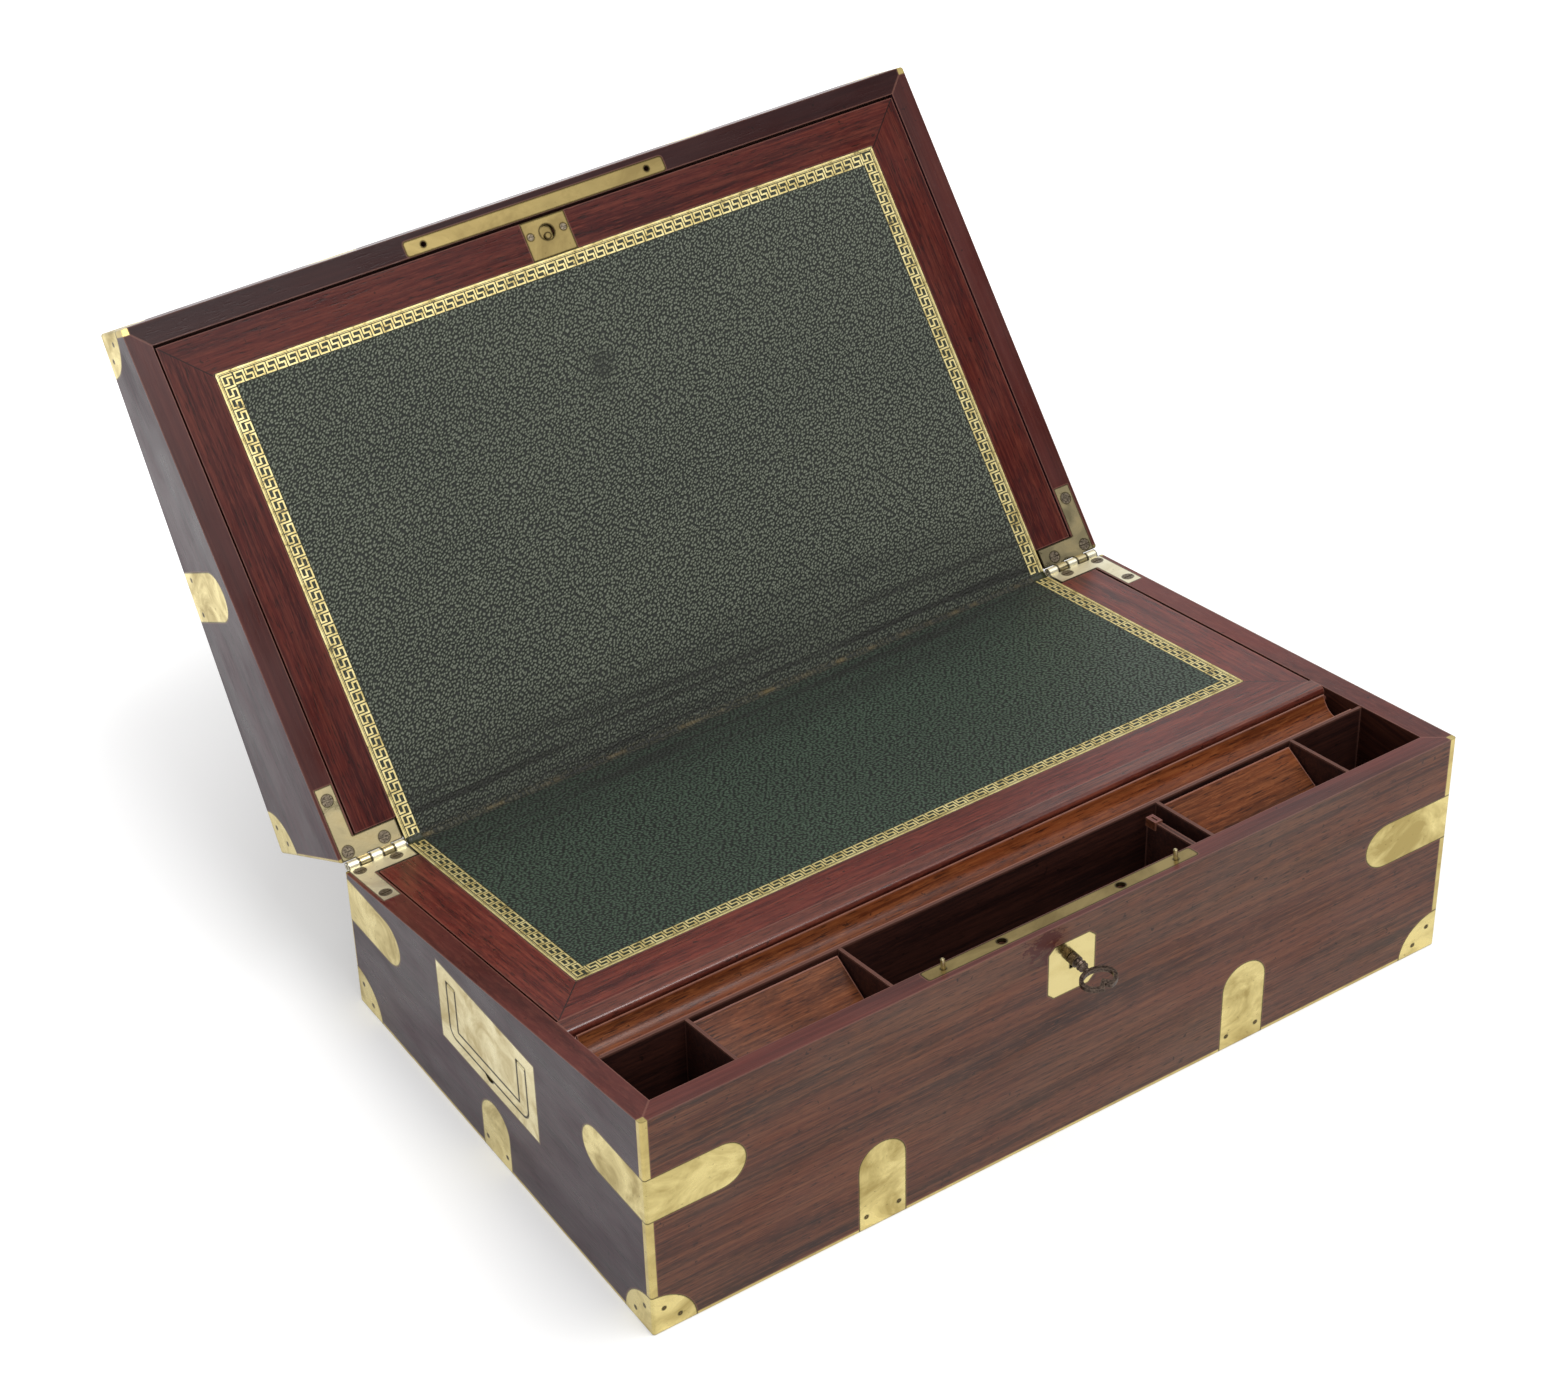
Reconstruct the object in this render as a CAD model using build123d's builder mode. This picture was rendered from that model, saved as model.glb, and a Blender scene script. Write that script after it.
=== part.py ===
from build123d import *
from math import atan, cos, degrees, radians, sin, tan
import os

os.makedirs("parts", exist_ok=True)

# Brass-bound mahogany writing slope, open, in millimetres.
# X runs to the right, Y from front to back, Z up; the origin is the middle of the underside.

# ---- Case ----
width = 508.0
depth = 302.0
front_height = 144.3
back_height = 90.4
board = 13.3
floor_thickness = 8.0
corner_round = 1.6
foot_round = 0.8
parting_gap = 0.6
lid_open_angle = 120.35
hinge_offset = 3.1

# ---- Inlaid brass ----
brass = 1.2
cap_radius = 26.0
edging_height = 2.3
edging_width = 3.0
edging_lap = 1.0
front_bead = 4.0
back_bead = 2.0
strap_breadth = 29.2
corner_strap_reach = 58.0
back_arm_inset = 1.0
front_corner_strap_middle = 91.6
back_corner_strap_middle = 73.0
strap_spacing = 233.0
front_strap_height = 56.3
side_strap_height = 38.8
under_strap_reach = 40.0
lid_front_strap_height = 25.0
lid_side_strap_height = 54.0
nail_radius = 1.0
nail_length = 5.0
cap_nail_long = 16.0
cap_nail_short = 7.0
strap_nail_spread = 10.0
strap_nail_height = 8.8
name_plate_length = 76.0
name_plate_width = 38.0
name_plate_corner = 6.0

# ---- Flush carrying handles ----
handle_y = 1.8
handle_z = 75.0
handle_plate_length = 99.3
handle_plate_height = 53.0
handle_plate_depth = 7.0
bail_length = 79.2
bail_top = 92.3
bail_bottom = 56.5
bail_arm = 8.3
bail_grip = 6.8
bail_thickness = 4.0
bail_corner = 6.0
bail_gap = 0.4
bail_floor_gap = 0.6
bail_pin_radius = 1.0
bail_pin_hold = 3.0
running_clearance = 0.05
nick_radius = 4.5
nick_rise = 1.5
nick_depth = 3.5

# ---- Corner hinges ----
leaf_thickness = 1.5
leaf_margin = 2.0
leaf_leg_width = 10.5
leaf_leg_length = 41.4
leaf_back_length = 36.3
leaf_back_width = 11.5
knuckle_radius = 2.8
knuckle_start = 2.9
knuckle_count = 5
knuckle_gap = 0.25
hinge_pin_radius = 1.1
screw_head_radius = 3.2
screw_shank_radius = 1.6
screw_length = 10.0
screw_slot_width = 0.9
screw_slot_depth = 0.6
screw_from_leg_tip = 7.5
screw_from_side = 7.0
screw_from_back = 4.4
screw_from_back_tip = 9.3

# ---- Front compartments ----
well_floor_top = 76.0
well_floor_thickness = 5.0
well_depth = 46.0
divider_thickness = 2.0
divider_drop = 0.4
partition_thickness = 2.0
partition_drop = 0.5
end_cell = 48.6
nib_cell = 88.6
nib_board_thickness = 3.0
nib_board_low = 108.0
nib_board_angle = 26.6
nib_board_gap = 1.2
low_cell = 9.0
low_divider_thickness = 3.0
low_divider_length = 37.9
low_divider_drop = 1.4
clip_length = 8.0
clip_height = 6.0
clip_wall = 0.8
clip_slot_length = 5.0
clip_slot_width = 1.2

# ---- Pen tray and its channel ----
channel_width = 25.8
tray_width = 23.1
tray_front_gap = 0.6
tray_left_gap = 2.0
tray_right_gap = 4.7
tray_drop = 1.0
tray_height = 15.0
tray_cove_radius = 10.8
tray_bearer_width = 12.0

# ---- Rail and writing flaps ----
rail_depth = 13.3
rail_bead_radius = 2.0
rail_bead_top = 5.0
rail_nose_radius = 2.9
flap_ledge = 8.0
flap_ledge_thickness = 8.0
flap_thickness = 6.5
flap_set_down = 0.3
flap_seat_gap = 0.2
flap_seam = 0.4
flap_side_gap = 1.2
upper_flap_top_gap = 1.7
leaf_gap = 0.45
tongue_gap = 0.9
crease_gap = 0.4
flap_back_gap = 0.5
leather = 1.0
lower_front_member = 25.0
upper_top_member = 23.0
bearer_width = 8.0
bearer_height = 10.0

# ---- Lock, key and rim plates ----
lock_x = -0.8
lock_s = 8.5
lock_plate_length = 169.0
lock_plate_width = 9.4
lock_plate_thickness = 2.0
plate_corner = 2.0
link_socket_spread = 74.4
link_socket_radius = 2.5
link_socket_depth = 6.0
pin_spread = 145.4
pin_radius = 1.25
pin_height = 6.0
pin_root = 6.0
pin_clearance = 0.3
pin_hole_depth = 8.0
escutcheon_width = 30.0
escutcheon_height = 34.6
escutcheon_corner = 4.0
escutcheon_middle = 113.8
key_z = 119.0
key_shank_radius = 2.2
keyhole_slot_width = 2.2
keyhole_slot_drop = 6.8
key_collar_radius = 3.3
key_collar_length = 4.6
key_collar_gap = 0.4
key_stem_length = 12.6
# Turned rings of the stem: distance past the collar, and radius beyond that of the shank
key_stem_rings = ((0.3, 0.0), (1.6, -0.3), (3.0, 0.9), (4.2, 0.3), (5.0, 0.7), (6.4, -0.6), (9.1, -0.9))
bow_length = 16.4
bow_width = 21.2
bow_offset = 0.8
bow_stock = 2.2
bow_thickness = 2.4
bow_cusp_width = 9.6
bow_cusp_low = 1.8
bow_cusp_high = 7.0
bow_dip_width = 6.2
bow_dip_height = 3.3
key_bit_length = 5.6
key_bit_thickness = 1.8
key_bit_width = 3.4
key_bit_root = 1.0
lock_case_length = 70.0
lock_case_height = 30.0
lock_case_wall = 1.2
lock_case_cover = 4.5
lock_bolt_length = 44.0
lock_bolt_height = 6.4
lock_bolt_thickness = 3.0
lock_bolt_gap = 0.35

# ---- Catch of the upper flap ----
catch_width = 28.8
catch_hole_radius = 4.5
catch_hole_inset = 9.0
catch_screw_spread = 21.3
catch_screw_radius = 1.85
catch_screw_shank = 0.9
catch_screw_length = 4.5
catch_bolt_width = 8.0
catch_bolt_thickness = 2.6
catch_bolt_length = 18.0
catch_button_radius = 2.2
catch_button_back = 2.0
catch_gap = 0.3
catch_throw = 3.6

# ---- Planes and heights worked out from the sizes above ----
slope = degrees(atan((front_height - back_height) / depth))
hinge_y = depth / 2 + hinge_offset
hinge_z = back_height + parting_gap / 2 / cos(radians(slope)) - hinge_offset * tan(radians(slope))
lid_top = 2 * hinge_z
rim_length = (depth + hinge_offset) / cos(radians(slope))
back_edge = -hinge_offset / cos(radians(slope))
flap_drop = flap_set_down + flap_thickness + flap_seat_gap
tongue_zone_half = width / 2 - leaf_margin - leaf_back_length
tongue_half = tongue_zone_half - tongue_gap
notch_edge = back_edge - leaf_back_width - leaf_gap
back_arm_reach = width / 2 - tongue_zone_half - back_arm_inset

inner_half_width = width / 2 - board
front_wall_inner = -depth / 2 + board
back_wall_inner = depth / 2 - board
divider_front = front_wall_inner + well_depth
divider_back = divider_front + divider_thickness
rail_front = divider_back + channel_width
rail_wall_front = rail_front + rail_bead_radius
seam_y = rail_front + rail_depth
outer_partition_x = inner_half_width - end_cell - partition_thickness / 2
inner_partition_x = outer_partition_x - partition_thickness - nib_cell
low_divider_x = inner_partition_x - partition_thickness / 2 - low_cell - low_divider_thickness / 2

rim_plane = Plane(
    origin=(0, hinge_y, hinge_z),
    x_dir=(1, 0, 0),
    z_dir=(0, sin(radians(slope)), cos(radians(slope))),
)
base_rim = rim_plane.offset(-parting_gap / 2)
hinge_line = Location((0, hinge_y, hinge_z))
lid_swing = hinge_line * Rotation(-lid_open_angle, 0, 0) * hinge_line.inverse()


def opened(plane):
    """The plane of the closed lid, carried round the hinge line to the open lid."""
    return Plane(lid_swing * plane.location)


lid_rim = opened(rim_plane.offset(parting_gap / 2))
lid_plan = opened(Plane.XY.offset(lid_top))


def rim_z(y, below=0.0):
    """Height of the slanted rim of the base at depth y, or of a line that far below it."""
    return back_height + (depth / 2 - y) * tan(radians(slope)) - below


def along_rim(distance):
    """Local y on the rim planes of a place that far behind the front face."""
    return distance - rim_length


def rim_y(y):
    """Local y on the rim planes above the depth y of the base."""
    return (y - hinge_y) / cos(radians(slope))


def outer_faces(end_z, up):
    """Planes on the outer faces of one half of the case, local y running away from its closed end."""
    return {
        "front": Plane(origin=(0, -depth / 2, end_z), x_dir=(up, 0, 0), z_dir=(0, -1, 0)),
        "back": Plane(origin=(0, depth / 2, end_z), x_dir=(-up, 0, 0), z_dir=(0, 1, 0)),
        "left": Plane(origin=(-width / 2, 0, end_z), x_dir=(0, -up, 0), z_dir=(-1, 0, 0)),
        "right": Plane(origin=(width / 2, 0, end_z), x_dir=(0, up, 0), z_dir=(1, 0, 0)),
        "end": Plane(origin=(0, 0, end_z), x_dir=(1, 0, 0), z_dir=(0, 0, -up)),
    }


base_faces = outer_faces(0, 1)
lid_faces = {name: opened(plane) for name, plane in outer_faces(lid_top, -1).items()}
face_width = {"front": width, "back": width, "left": depth, "right": depth}


def edge_tongue(across, foot, inward, reach):
    """Strap arm that starts at local y = foot and ends in a half round."""
    straight = reach - strap_breadth / 2
    with Locations((across, foot + inward * straight / 2)):
        Rectangle(strap_breadth, straight)
    with Locations((across, foot + inward * straight)):
        Circle(strap_breadth / 2)


def corner_tongue(corner, inward, middle, reach):
    """Strap arm that starts at local x = corner and ends in a half round."""
    straight = reach - strap_breadth / 2
    with Locations((corner + inward * straight / 2, middle)):
        Rectangle(straight, strap_breadth)
    with Locations((corner + inward * straight, middle)):
        Circle(strap_breadth / 2)


def corner_caps(faces):
    """Quarter discs that fold round the four corners of a closed end."""
    for name, breadth in face_width.items():
        with BuildSketch(faces[name]) as discs:
            with Locations((-breadth / 2, 0), (breadth / 2, 0)):
                Circle(cap_radius)
            Rectangle(breadth, 2 * cap_radius, align=(Align.CENTER, Align.MIN), mode=Mode.INTERSECT)
        extrude(discs.sketch, amount=-brass)
    with BuildSketch(faces["end"]) as end_discs:
        with GridLocations(width, depth, 2, 2):
            Circle(cap_radius)
        Rectangle(width, depth, mode=Mode.INTERSECT)
    extrude(end_discs.sketch, amount=-brass)


def folded_straps(faces, heights):
    """Round-ended straps that fold over the long and short edges of a closed end."""
    places = {
        "front": (-strap_spacing / 2, strap_spacing / 2),
        "back": (-strap_spacing / 2, strap_spacing / 2),
        "left": (0,),
        "right": (0,),
    }
    for name, across in places.items():
        with BuildSketch(faces[name]) as arms:
            for x in across:
                edge_tongue(x, 0, 1, heights[name])
        extrude(arms.sketch, amount=-brass)
    with BuildSketch(faces["end"]) as long_edges:
        for x in places["front"]:
            for side in (-1, 1):
                edge_tongue(x, side * depth / 2, -side, under_strap_reach)
    extrude(long_edges.sketch, amount=-brass)
    short_edge_plane = Plane(faces["end"].origin, x_dir=faces["end"].y_dir, z_dir=faces["end"].z_dir)
    with BuildSketch(short_edge_plane) as short_edges:
        for side in (-1, 1):
            edge_tongue(0, side * width / 2, -side, under_strap_reach)
    extrude(short_edges.sketch, amount=-brass)


def face_nails(faces):
    """Nails of the caps and straps, driven square to the four upright faces."""
    strap_rows = {
        "front": (-strap_spacing / 2, strap_spacing / 2),
        "back": (-strap_spacing / 2, strap_spacing / 2),
        "left": (0,),
        "right": (0,),
    }
    for name, breadth in face_width.items():
        with BuildSketch(faces[name]) as heads:
            for side in (-1, 1):
                corner = side * breadth / 2
                with Locations(
                    (corner - side * cap_nail_short, cap_nail_long),
                    (corner - side * cap_nail_long, cap_nail_short),
                ):
                    Circle(nail_radius)
                for x in strap_rows[name]:
                    with Locations((x + side * strap_nail_spread, strap_nail_height)):
                        Circle(nail_radius)
        extrude(heads.sketch, amount=-nail_length)


def board_outline(name):
    """Plan of one mitred board."""
    half_width = width / 2
    half_depth = depth / 2
    outlines = {
        "front": [
            (-half_width, -half_depth),
            (half_width, -half_depth),
            (inner_half_width, front_wall_inner),
            (-inner_half_width, front_wall_inner),
        ],
        "back": [
            (half_width, half_depth),
            (-half_width, half_depth),
            (-inner_half_width, back_wall_inner),
            (inner_half_width, back_wall_inner),
        ],
        "left": [
            (-half_width, half_depth),
            (-half_width, -half_depth),
            (-inner_half_width, front_wall_inner),
            (-inner_half_width, back_wall_inner),
        ],
        "right": [
            (half_width, -half_depth),
            (half_width, half_depth),
            (inner_half_width, back_wall_inner),
            (inner_half_width, front_wall_inner),
        ],
    }
    Polygon(*outlines[name], align=None)


def flap_rebate():
    """Plan of what a back board loses so that the flap can lie on it between the hinges."""
    with Locations((0, back_edge)):
        Rectangle(2 * tongue_zone_half, 4 * board)
    with Locations((0, back_edge - leaf_back_width)):
        Rectangle(2 * inner_half_width, board, align=(Align.CENTER, Align.MAX))


# ---- Rounded blocks that every outer piece of the base and of the lid is trimmed to ----
with BuildPart() as base_block:
    with BuildSketch(Plane.XY):
        RectangleRounded(width, depth, corner_round)
    extrude(amount=front_height)
    fillet(base_block.faces().sort_by(Axis.Z)[0].edges(), foot_round)

with BuildPart() as lid_block:
    with BuildSketch(lid_plan):
        RectangleRounded(width, depth, corner_round)
    extrude(amount=-lid_top)
    lid_up = Axis(lid_plan.origin, lid_plan.z_dir)
    fillet(lid_block.faces().sort_by(lid_up)[-1].edges(), foot_round)

# ---- Brass mounts of the base ----
with BuildPart() as base_nails:
    face_nails(base_faces)
base_nails.part.label = "base_nails"
export_step(base_nails.part, "parts/base_nails.step")

with BuildPart() as base_corner_caps:
    corner_caps(base_faces)
    add(base_block.part, mode=Mode.INTERSECT)
    add(base_nails.part, mode=Mode.SUBTRACT)
base_corner_caps.part.label = "base_corner_caps"
export_step(base_corner_caps.part, "parts/base_corner_caps.step")

with BuildPart() as base_corner_straps:
    for name, middles in {
        "front": (front_corner_strap_middle, front_corner_strap_middle),
        "back": (back_corner_strap_middle, back_corner_strap_middle),
        "left": (back_corner_strap_middle, front_corner_strap_middle),
        "right": (front_corner_strap_middle, back_corner_strap_middle),
    }.items():
        with BuildSketch(base_faces[name]) as arms:
            reach = back_arm_reach if name == "back" else corner_strap_reach
            corner_tongue(-face_width[name] / 2, 1, middles[0], reach)
            corner_tongue(face_width[name] / 2, -1, middles[1], reach)
        extrude(arms.sketch, amount=-brass)
    add(base_block.part, mode=Mode.INTERSECT)
base_corner_straps.part.label = "base_corner_straps"
export_step(base_corner_straps.part, "parts/base_corner_straps.step")

base_strap_heights = {
    "front": front_strap_height,
    "back": front_strap_height,
    "left": side_strap_height,
    "right": side_strap_height,
}
with BuildPart() as base_folded_straps:
    folded_straps(base_faces, base_strap_heights)
    add(base_block.part, mode=Mode.INTERSECT)
    add(base_nails.part, mode=Mode.SUBTRACT)
base_folded_straps.part.label = "base_folded_straps"
export_step(base_folded_straps.part, "parts/base_folded_straps.step")

# Square beads let into the upright edges between the caps, the straps and the rim
with BuildPart() as base_edge_beads:
    for side, bead, middle in (
        (-1, front_bead, front_corner_strap_middle),
        (1, back_bead, back_corner_strap_middle),
    ):
        strap_low = middle - strap_breadth / 2
        strap_high = middle + strap_breadth / 2
        with BuildSketch(Plane.XY.offset(cap_radius)) as lower_beads:
            with Locations((0, side * (depth - bead) / 2)):
                with GridLocations(width - bead, 0, 2, 1):
                    Rectangle(bead, bead)
        extrude(lower_beads.sketch, amount=strap_low - cap_radius)
        with BuildSketch(Plane.XY.offset(strap_high)) as upper_beads:
            with Locations((0, side * (depth - bead) / 2)):
                with GridLocations(width - bead, 0, 2, 1):
                    Rectangle(bead, bead)
        extrude(upper_beads.sketch, amount=front_height - strap_high)
    split(bisect_by=base_rim, keep=Keep.BOTTOM)
    add(base_block.part, mode=Mode.INTERSECT)
base_edge_beads.part.label = "base_edge_beads"
export_step(base_edge_beads.part, "parts/base_edge_beads.step")

with BuildPart() as base_bottom_edging:
    with BuildSketch(Plane.XY):
        Rectangle(width, depth)
        Rectangle(width - 2 * edging_width, depth - 2 * edging_width, mode=Mode.SUBTRACT)
        with GridLocations(width, depth, 2, 2):
            Rectangle(2 * (cap_radius - edging_lap), 2 * (cap_radius - edging_lap), mode=Mode.SUBTRACT)
        with GridLocations(strap_spacing, depth, 2, 2):
            Rectangle(strap_breadth, 3 * edging_width, mode=Mode.SUBTRACT)
        with GridLocations(width, 0, 2, 1):
            Rectangle(3 * edging_width, strap_breadth, mode=Mode.SUBTRACT)
    extrude(amount=edging_height)
    add(base_block.part, mode=Mode.INTERSECT)
    add(base_corner_caps.part, mode=Mode.SUBTRACT)
base_bottom_edging.part.label = "base_bottom_edging"
export_step(base_bottom_edging.part, "parts/base_bottom_edging.step")

# ---- Escutcheon and keyhole ----
with BuildPart() as keyhole:
    with BuildSketch(base_faces["front"]):
        with Locations((0, key_z)):
            Circle(key_shank_radius + running_clearance)
        with Locations((0, key_z - keyhole_slot_drop / 2)):
            Rectangle(keyhole_slot_width, keyhole_slot_drop)
    extrude(amount=-(lock_case_cover + lock_case_wall))

with BuildPart() as escutcheon:
    with BuildSketch(base_faces["front"]) as escutcheon_outline:
        with Locations((0, escutcheon_middle)):
            Rectangle(escutcheon_width, escutcheon_height)
        chamfer(escutcheon_outline.vertices(), escutcheon_corner)
    extrude(amount=-brass)
    add(keyhole.part, mode=Mode.SUBTRACT)
escutcheon.part.label = "escutcheon"
export_step(escutcheon.part, "parts/escutcheon.step")

# ---- Flush handles: plate with a bail-shaped recess, bail and pivot pins ----
bail_pivot_z = bail_top - bail_thickness / 2
bail_middle_z = (bail_pivot_z + bail_bottom) / 2
bail_height = bail_pivot_z - bail_bottom
handle_sides = {
    "left": (base_faces["left"], -handle_y, -1),
    "right": (base_faces["right"], handle_y, 1),
}
handle_blocks = {}
for name, (face, across, side) in handle_sides.items():
    pivot_x = side * (width / 2 - bail_thickness / 2)
    with BuildPart() as handle_block:
        with BuildSketch(face):
            with Locations((across, handle_z)):
                Rectangle(handle_plate_length, handle_plate_height)
        extrude(amount=-handle_plate_depth)
    handle_blocks[name] = handle_block.part

    with BuildPart() as handle_bail:
        with BuildSketch(face) as bail_outline:
            with Locations((across, bail_middle_z)):
                Rectangle(bail_length, bail_height)
            fillet(bail_outline.vertices().group_by(Axis.Y)[0], bail_corner)
            with Locations((across, bail_middle_z + bail_grip)):
                Rectangle(bail_length - 2 * bail_arm, bail_height, mode=Mode.SUBTRACT)
        extrude(amount=-bail_thickness)
        for arm in (-1, 1):
            arm_middle = handle_y + arm * (bail_length - bail_arm) / 2
            with BuildSketch(
                Plane(origin=(pivot_x, arm_middle, bail_pivot_z), x_dir=(1, 0, 0), z_dir=(0, 1, 0))
            ):
                Circle(bail_thickness / 2)
            extrude(amount=bail_arm / 2, both=True)
            with BuildSketch(
                Plane(origin=(pivot_x, arm_middle, bail_pivot_z), x_dir=(1, 0, 0), z_dir=(0, 1, 0))
            ):
                Circle(bail_pin_radius + running_clearance)
            extrude(amount=bail_arm / 2, both=True, mode=Mode.SUBTRACT)
    handle_bail.part.label = f"handle_bail_{name}"
    export_step(handle_bail.part, f"parts/handle_bail_{name}.step")

    with BuildPart() as handle_plate:
        add(handle_block.part)
        with BuildSketch(face) as bail_recess:
            with Locations((across, (bail_top + bail_bottom) / 2)):
                Rectangle(bail_length + 2 * bail_gap, bail_top - bail_bottom + 2 * bail_gap)
            fillet(bail_recess.vertices().group_by(Axis.Y)[0], bail_corner + bail_gap)
            with Locations((across, bail_middle_z + bail_grip + bail_thickness)):
                Rectangle(
                    bail_length - 2 * bail_arm - 2 * bail_gap,
                    bail_height + 2 * bail_thickness - 2 * bail_gap,
                    mode=Mode.SUBTRACT,
                )
        extrude(amount=-(bail_thickness + bail_floor_gap), mode=Mode.SUBTRACT)
        with BuildSketch(face):
            with Locations((across, bail_bottom + nick_rise)):
                Circle(nick_radius)
            with Locations((across, bail_bottom + bail_grip / 2 + nick_radius)):
                Rectangle(3 * nick_radius, 2 * nick_radius, mode=Mode.SUBTRACT)
        extrude(amount=-nick_depth, mode=Mode.SUBTRACT)
        for arm in (-1, 1):
            pin_start = handle_y + arm * (bail_length - bail_arm) / 2
            with BuildSketch(
                Plane(origin=(pivot_x, pin_start, bail_pivot_z), x_dir=(1, 0, 0), z_dir=(0, arm, 0))
            ):
                Circle(bail_pin_radius)
            extrude(amount=bail_arm / 2 + bail_pin_hold, mode=Mode.SUBTRACT)
    handle_plate.part.label = f"handle_plate_{name}"
    export_step(handle_plate.part, f"parts/handle_plate_{name}.step")

with BuildPart() as handle_pins:
    for side in (-1, 1):
        for arm in (-1, 1):
            pin_start = handle_y + arm * (bail_length - bail_arm) / 2
            with BuildSketch(
                Plane(
                    origin=(side * (width / 2 - bail_thickness / 2), pin_start, bail_pivot_z),
                    x_dir=(1, 0, 0),
                    z_dir=(0, arm, 0),
                )
            ):
                Circle(bail_pin_radius)
            extrude(amount=bail_arm / 2 + bail_pin_hold)
handle_pins.part.label = "handle_pins"
export_step(handle_pins.part, "parts/handle_pins.step")

# ---- Hinges: L-shaped leaves let into the rims, knuckles on the hinge line, pins, screws ----
leaf_side_x = width / 2 - leaf_margin - leaf_leg_width / 2
leaf_back_x = width / 2 - leaf_margin - leaf_back_length / 2
knuckle_zone = leaf_margin + leaf_back_length - knuckle_start
knuckle_pitch = knuckle_zone / knuckle_count
screw_places = (
    (width / 2 - screw_from_side, back_edge - leaf_leg_length + screw_from_leg_tip),
    (width / 2 - screw_from_side, back_edge - screw_from_back),
    (width / 2 - leaf_margin - leaf_back_length + screw_from_back_tip, back_edge - screw_from_back),
)
knuckle_plane = Plane(origin=(0, hinge_y, hinge_z), x_dir=rim_plane.y_dir, z_dir=(1, 0, 0))


def leaf_plan(side):
    """Outline of one L-shaped leaf on a rim plane."""
    with Locations((side * leaf_side_x, back_edge)):
        Rectangle(leaf_leg_width, leaf_leg_length, align=(Align.CENTER, Align.MAX))
    with Locations((side * leaf_back_x, back_edge)):
        Rectangle(leaf_back_length, leaf_back_width, align=(Align.CENTER, Align.MAX))


def knuckle_middle(side, number):
    """X of one knuckle, counted from the outer end of the hinge."""
    return side * (width / 2 - knuckle_start - (number + 0.5) * knuckle_pitch)


def screw_heads(radius):
    """The three screws of each of the two leaves on a rim plane."""
    for side in (-1, 1):
        for x, y in screw_places:
            with Locations((side * x, y)):
                Circle(radius)


def screw_slots():
    """Driving slots across the screw heads."""
    for side in (-1, 1):
        for x, y in screw_places:
            with Locations((side * x, y)):
                Rectangle(2 * screw_head_radius, screw_slot_width)


# The barrel halves below are built beside each other: the base has the odd knuckles, the lid the even
leaf_seats = {}
for name, rim, inward, barrel_plane, numbers in (
    ("base", base_rim, -1, knuckle_plane, range(0, knuckle_count, 2)),
    ("lid", lid_rim, 1, opened(knuckle_plane), range(1, knuckle_count, 2)),
):
    with BuildPart() as leaves:
        with BuildSketch(rim):
            for side in (-1, 1):
                leaf_plan(side)
        extrude(amount=inward * leaf_thickness)
        for side in (-1, 1):
            for number in numbers:
                middle = knuckle_middle(side, number)
                with BuildSketch(rim):
                    with Locations((middle, 0)):
                        Rectangle(
                            knuckle_pitch - knuckle_gap,
                            -back_edge + leaf_thickness,
                            align=(Align.CENTER, Align.MAX),
                        )
                extrude(amount=inward * leaf_thickness)
                with BuildSketch(barrel_plane.offset(middle)):
                    Circle(knuckle_radius)
                extrude(amount=(knuckle_pitch - knuckle_gap) / 2, both=True)
        with BuildSketch(barrel_plane):
            Circle(hinge_pin_radius + running_clearance)
        extrude(amount=width / 2, both=True, mode=Mode.SUBTRACT)
        with BuildSketch(rim):
            screw_heads(screw_head_radius)
        extrude(amount=inward * leaf_thickness, mode=Mode.SUBTRACT)
    leaves.part.label = f"hinge_{name}_leaves"
    export_step(leaves.part, f"parts/hinge_{name}_leaves.step")

    with BuildPart() as screws:
        with BuildSketch(rim):
            screw_heads(screw_head_radius)
        extrude(amount=inward * leaf_thickness)
        with BuildSketch(rim.offset(inward * leaf_thickness)):
            screw_heads(screw_shank_radius)
        extrude(amount=inward * (screw_length - leaf_thickness))
        with BuildSketch(rim):
            screw_slots()
        extrude(amount=inward * screw_slot_depth, mode=Mode.SUBTRACT)
    screws.part.label = f"hinge_{name}_screws"
    export_step(screws.part, f"parts/hinge_{name}_screws.step")

    # What the rim boards lose: the leaf and the full screws without their slots
    with BuildPart() as leaf_seat:
        with BuildSketch(rim):
            for side in (-1, 1):
                leaf_plan(side)
                with Locations((side * leaf_back_x, back_edge)):
                    Rectangle(leaf_back_length, leaf_back_width)
        extrude(amount=inward * leaf_thickness)
        with BuildSketch(rim.offset(inward * leaf_thickness)):
            screw_heads(screw_shank_radius)
        extrude(amount=inward * (screw_length - leaf_thickness))
    leaf_seats[name] = leaf_seat.part

with BuildPart() as hinge_pins:
    for side in (-1, 1):
        with BuildSketch(knuckle_plane.offset(side * (width / 2 - knuckle_start - knuckle_zone / 2))):
            Circle(hinge_pin_radius)
        extrude(amount=(knuckle_zone - knuckle_gap) / 2, both=True)
hinge_pins.part.label = "hinge_pins"
export_step(hinge_pins.part, "parts/hinge_pins.step")

# ---- Rim plates of the lock ----
with BuildPart() as lock_plate:
    with BuildSketch(base_rim):
        with Locations((lock_x, along_rim(lock_s))):
            RectangleRounded(lock_plate_length, lock_plate_width, plate_corner)
            with GridLocations(link_socket_spread, 0, 2, 1):
                Circle(link_socket_radius, mode=Mode.SUBTRACT)
            with GridLocations(pin_spread, 0, 2, 1):
                Circle(pin_radius, mode=Mode.SUBTRACT)
    extrude(amount=-lock_plate_thickness)
lock_plate.part.label = "lock_plate"
export_step(lock_plate.part, "parts/lock_plate.step")

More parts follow.
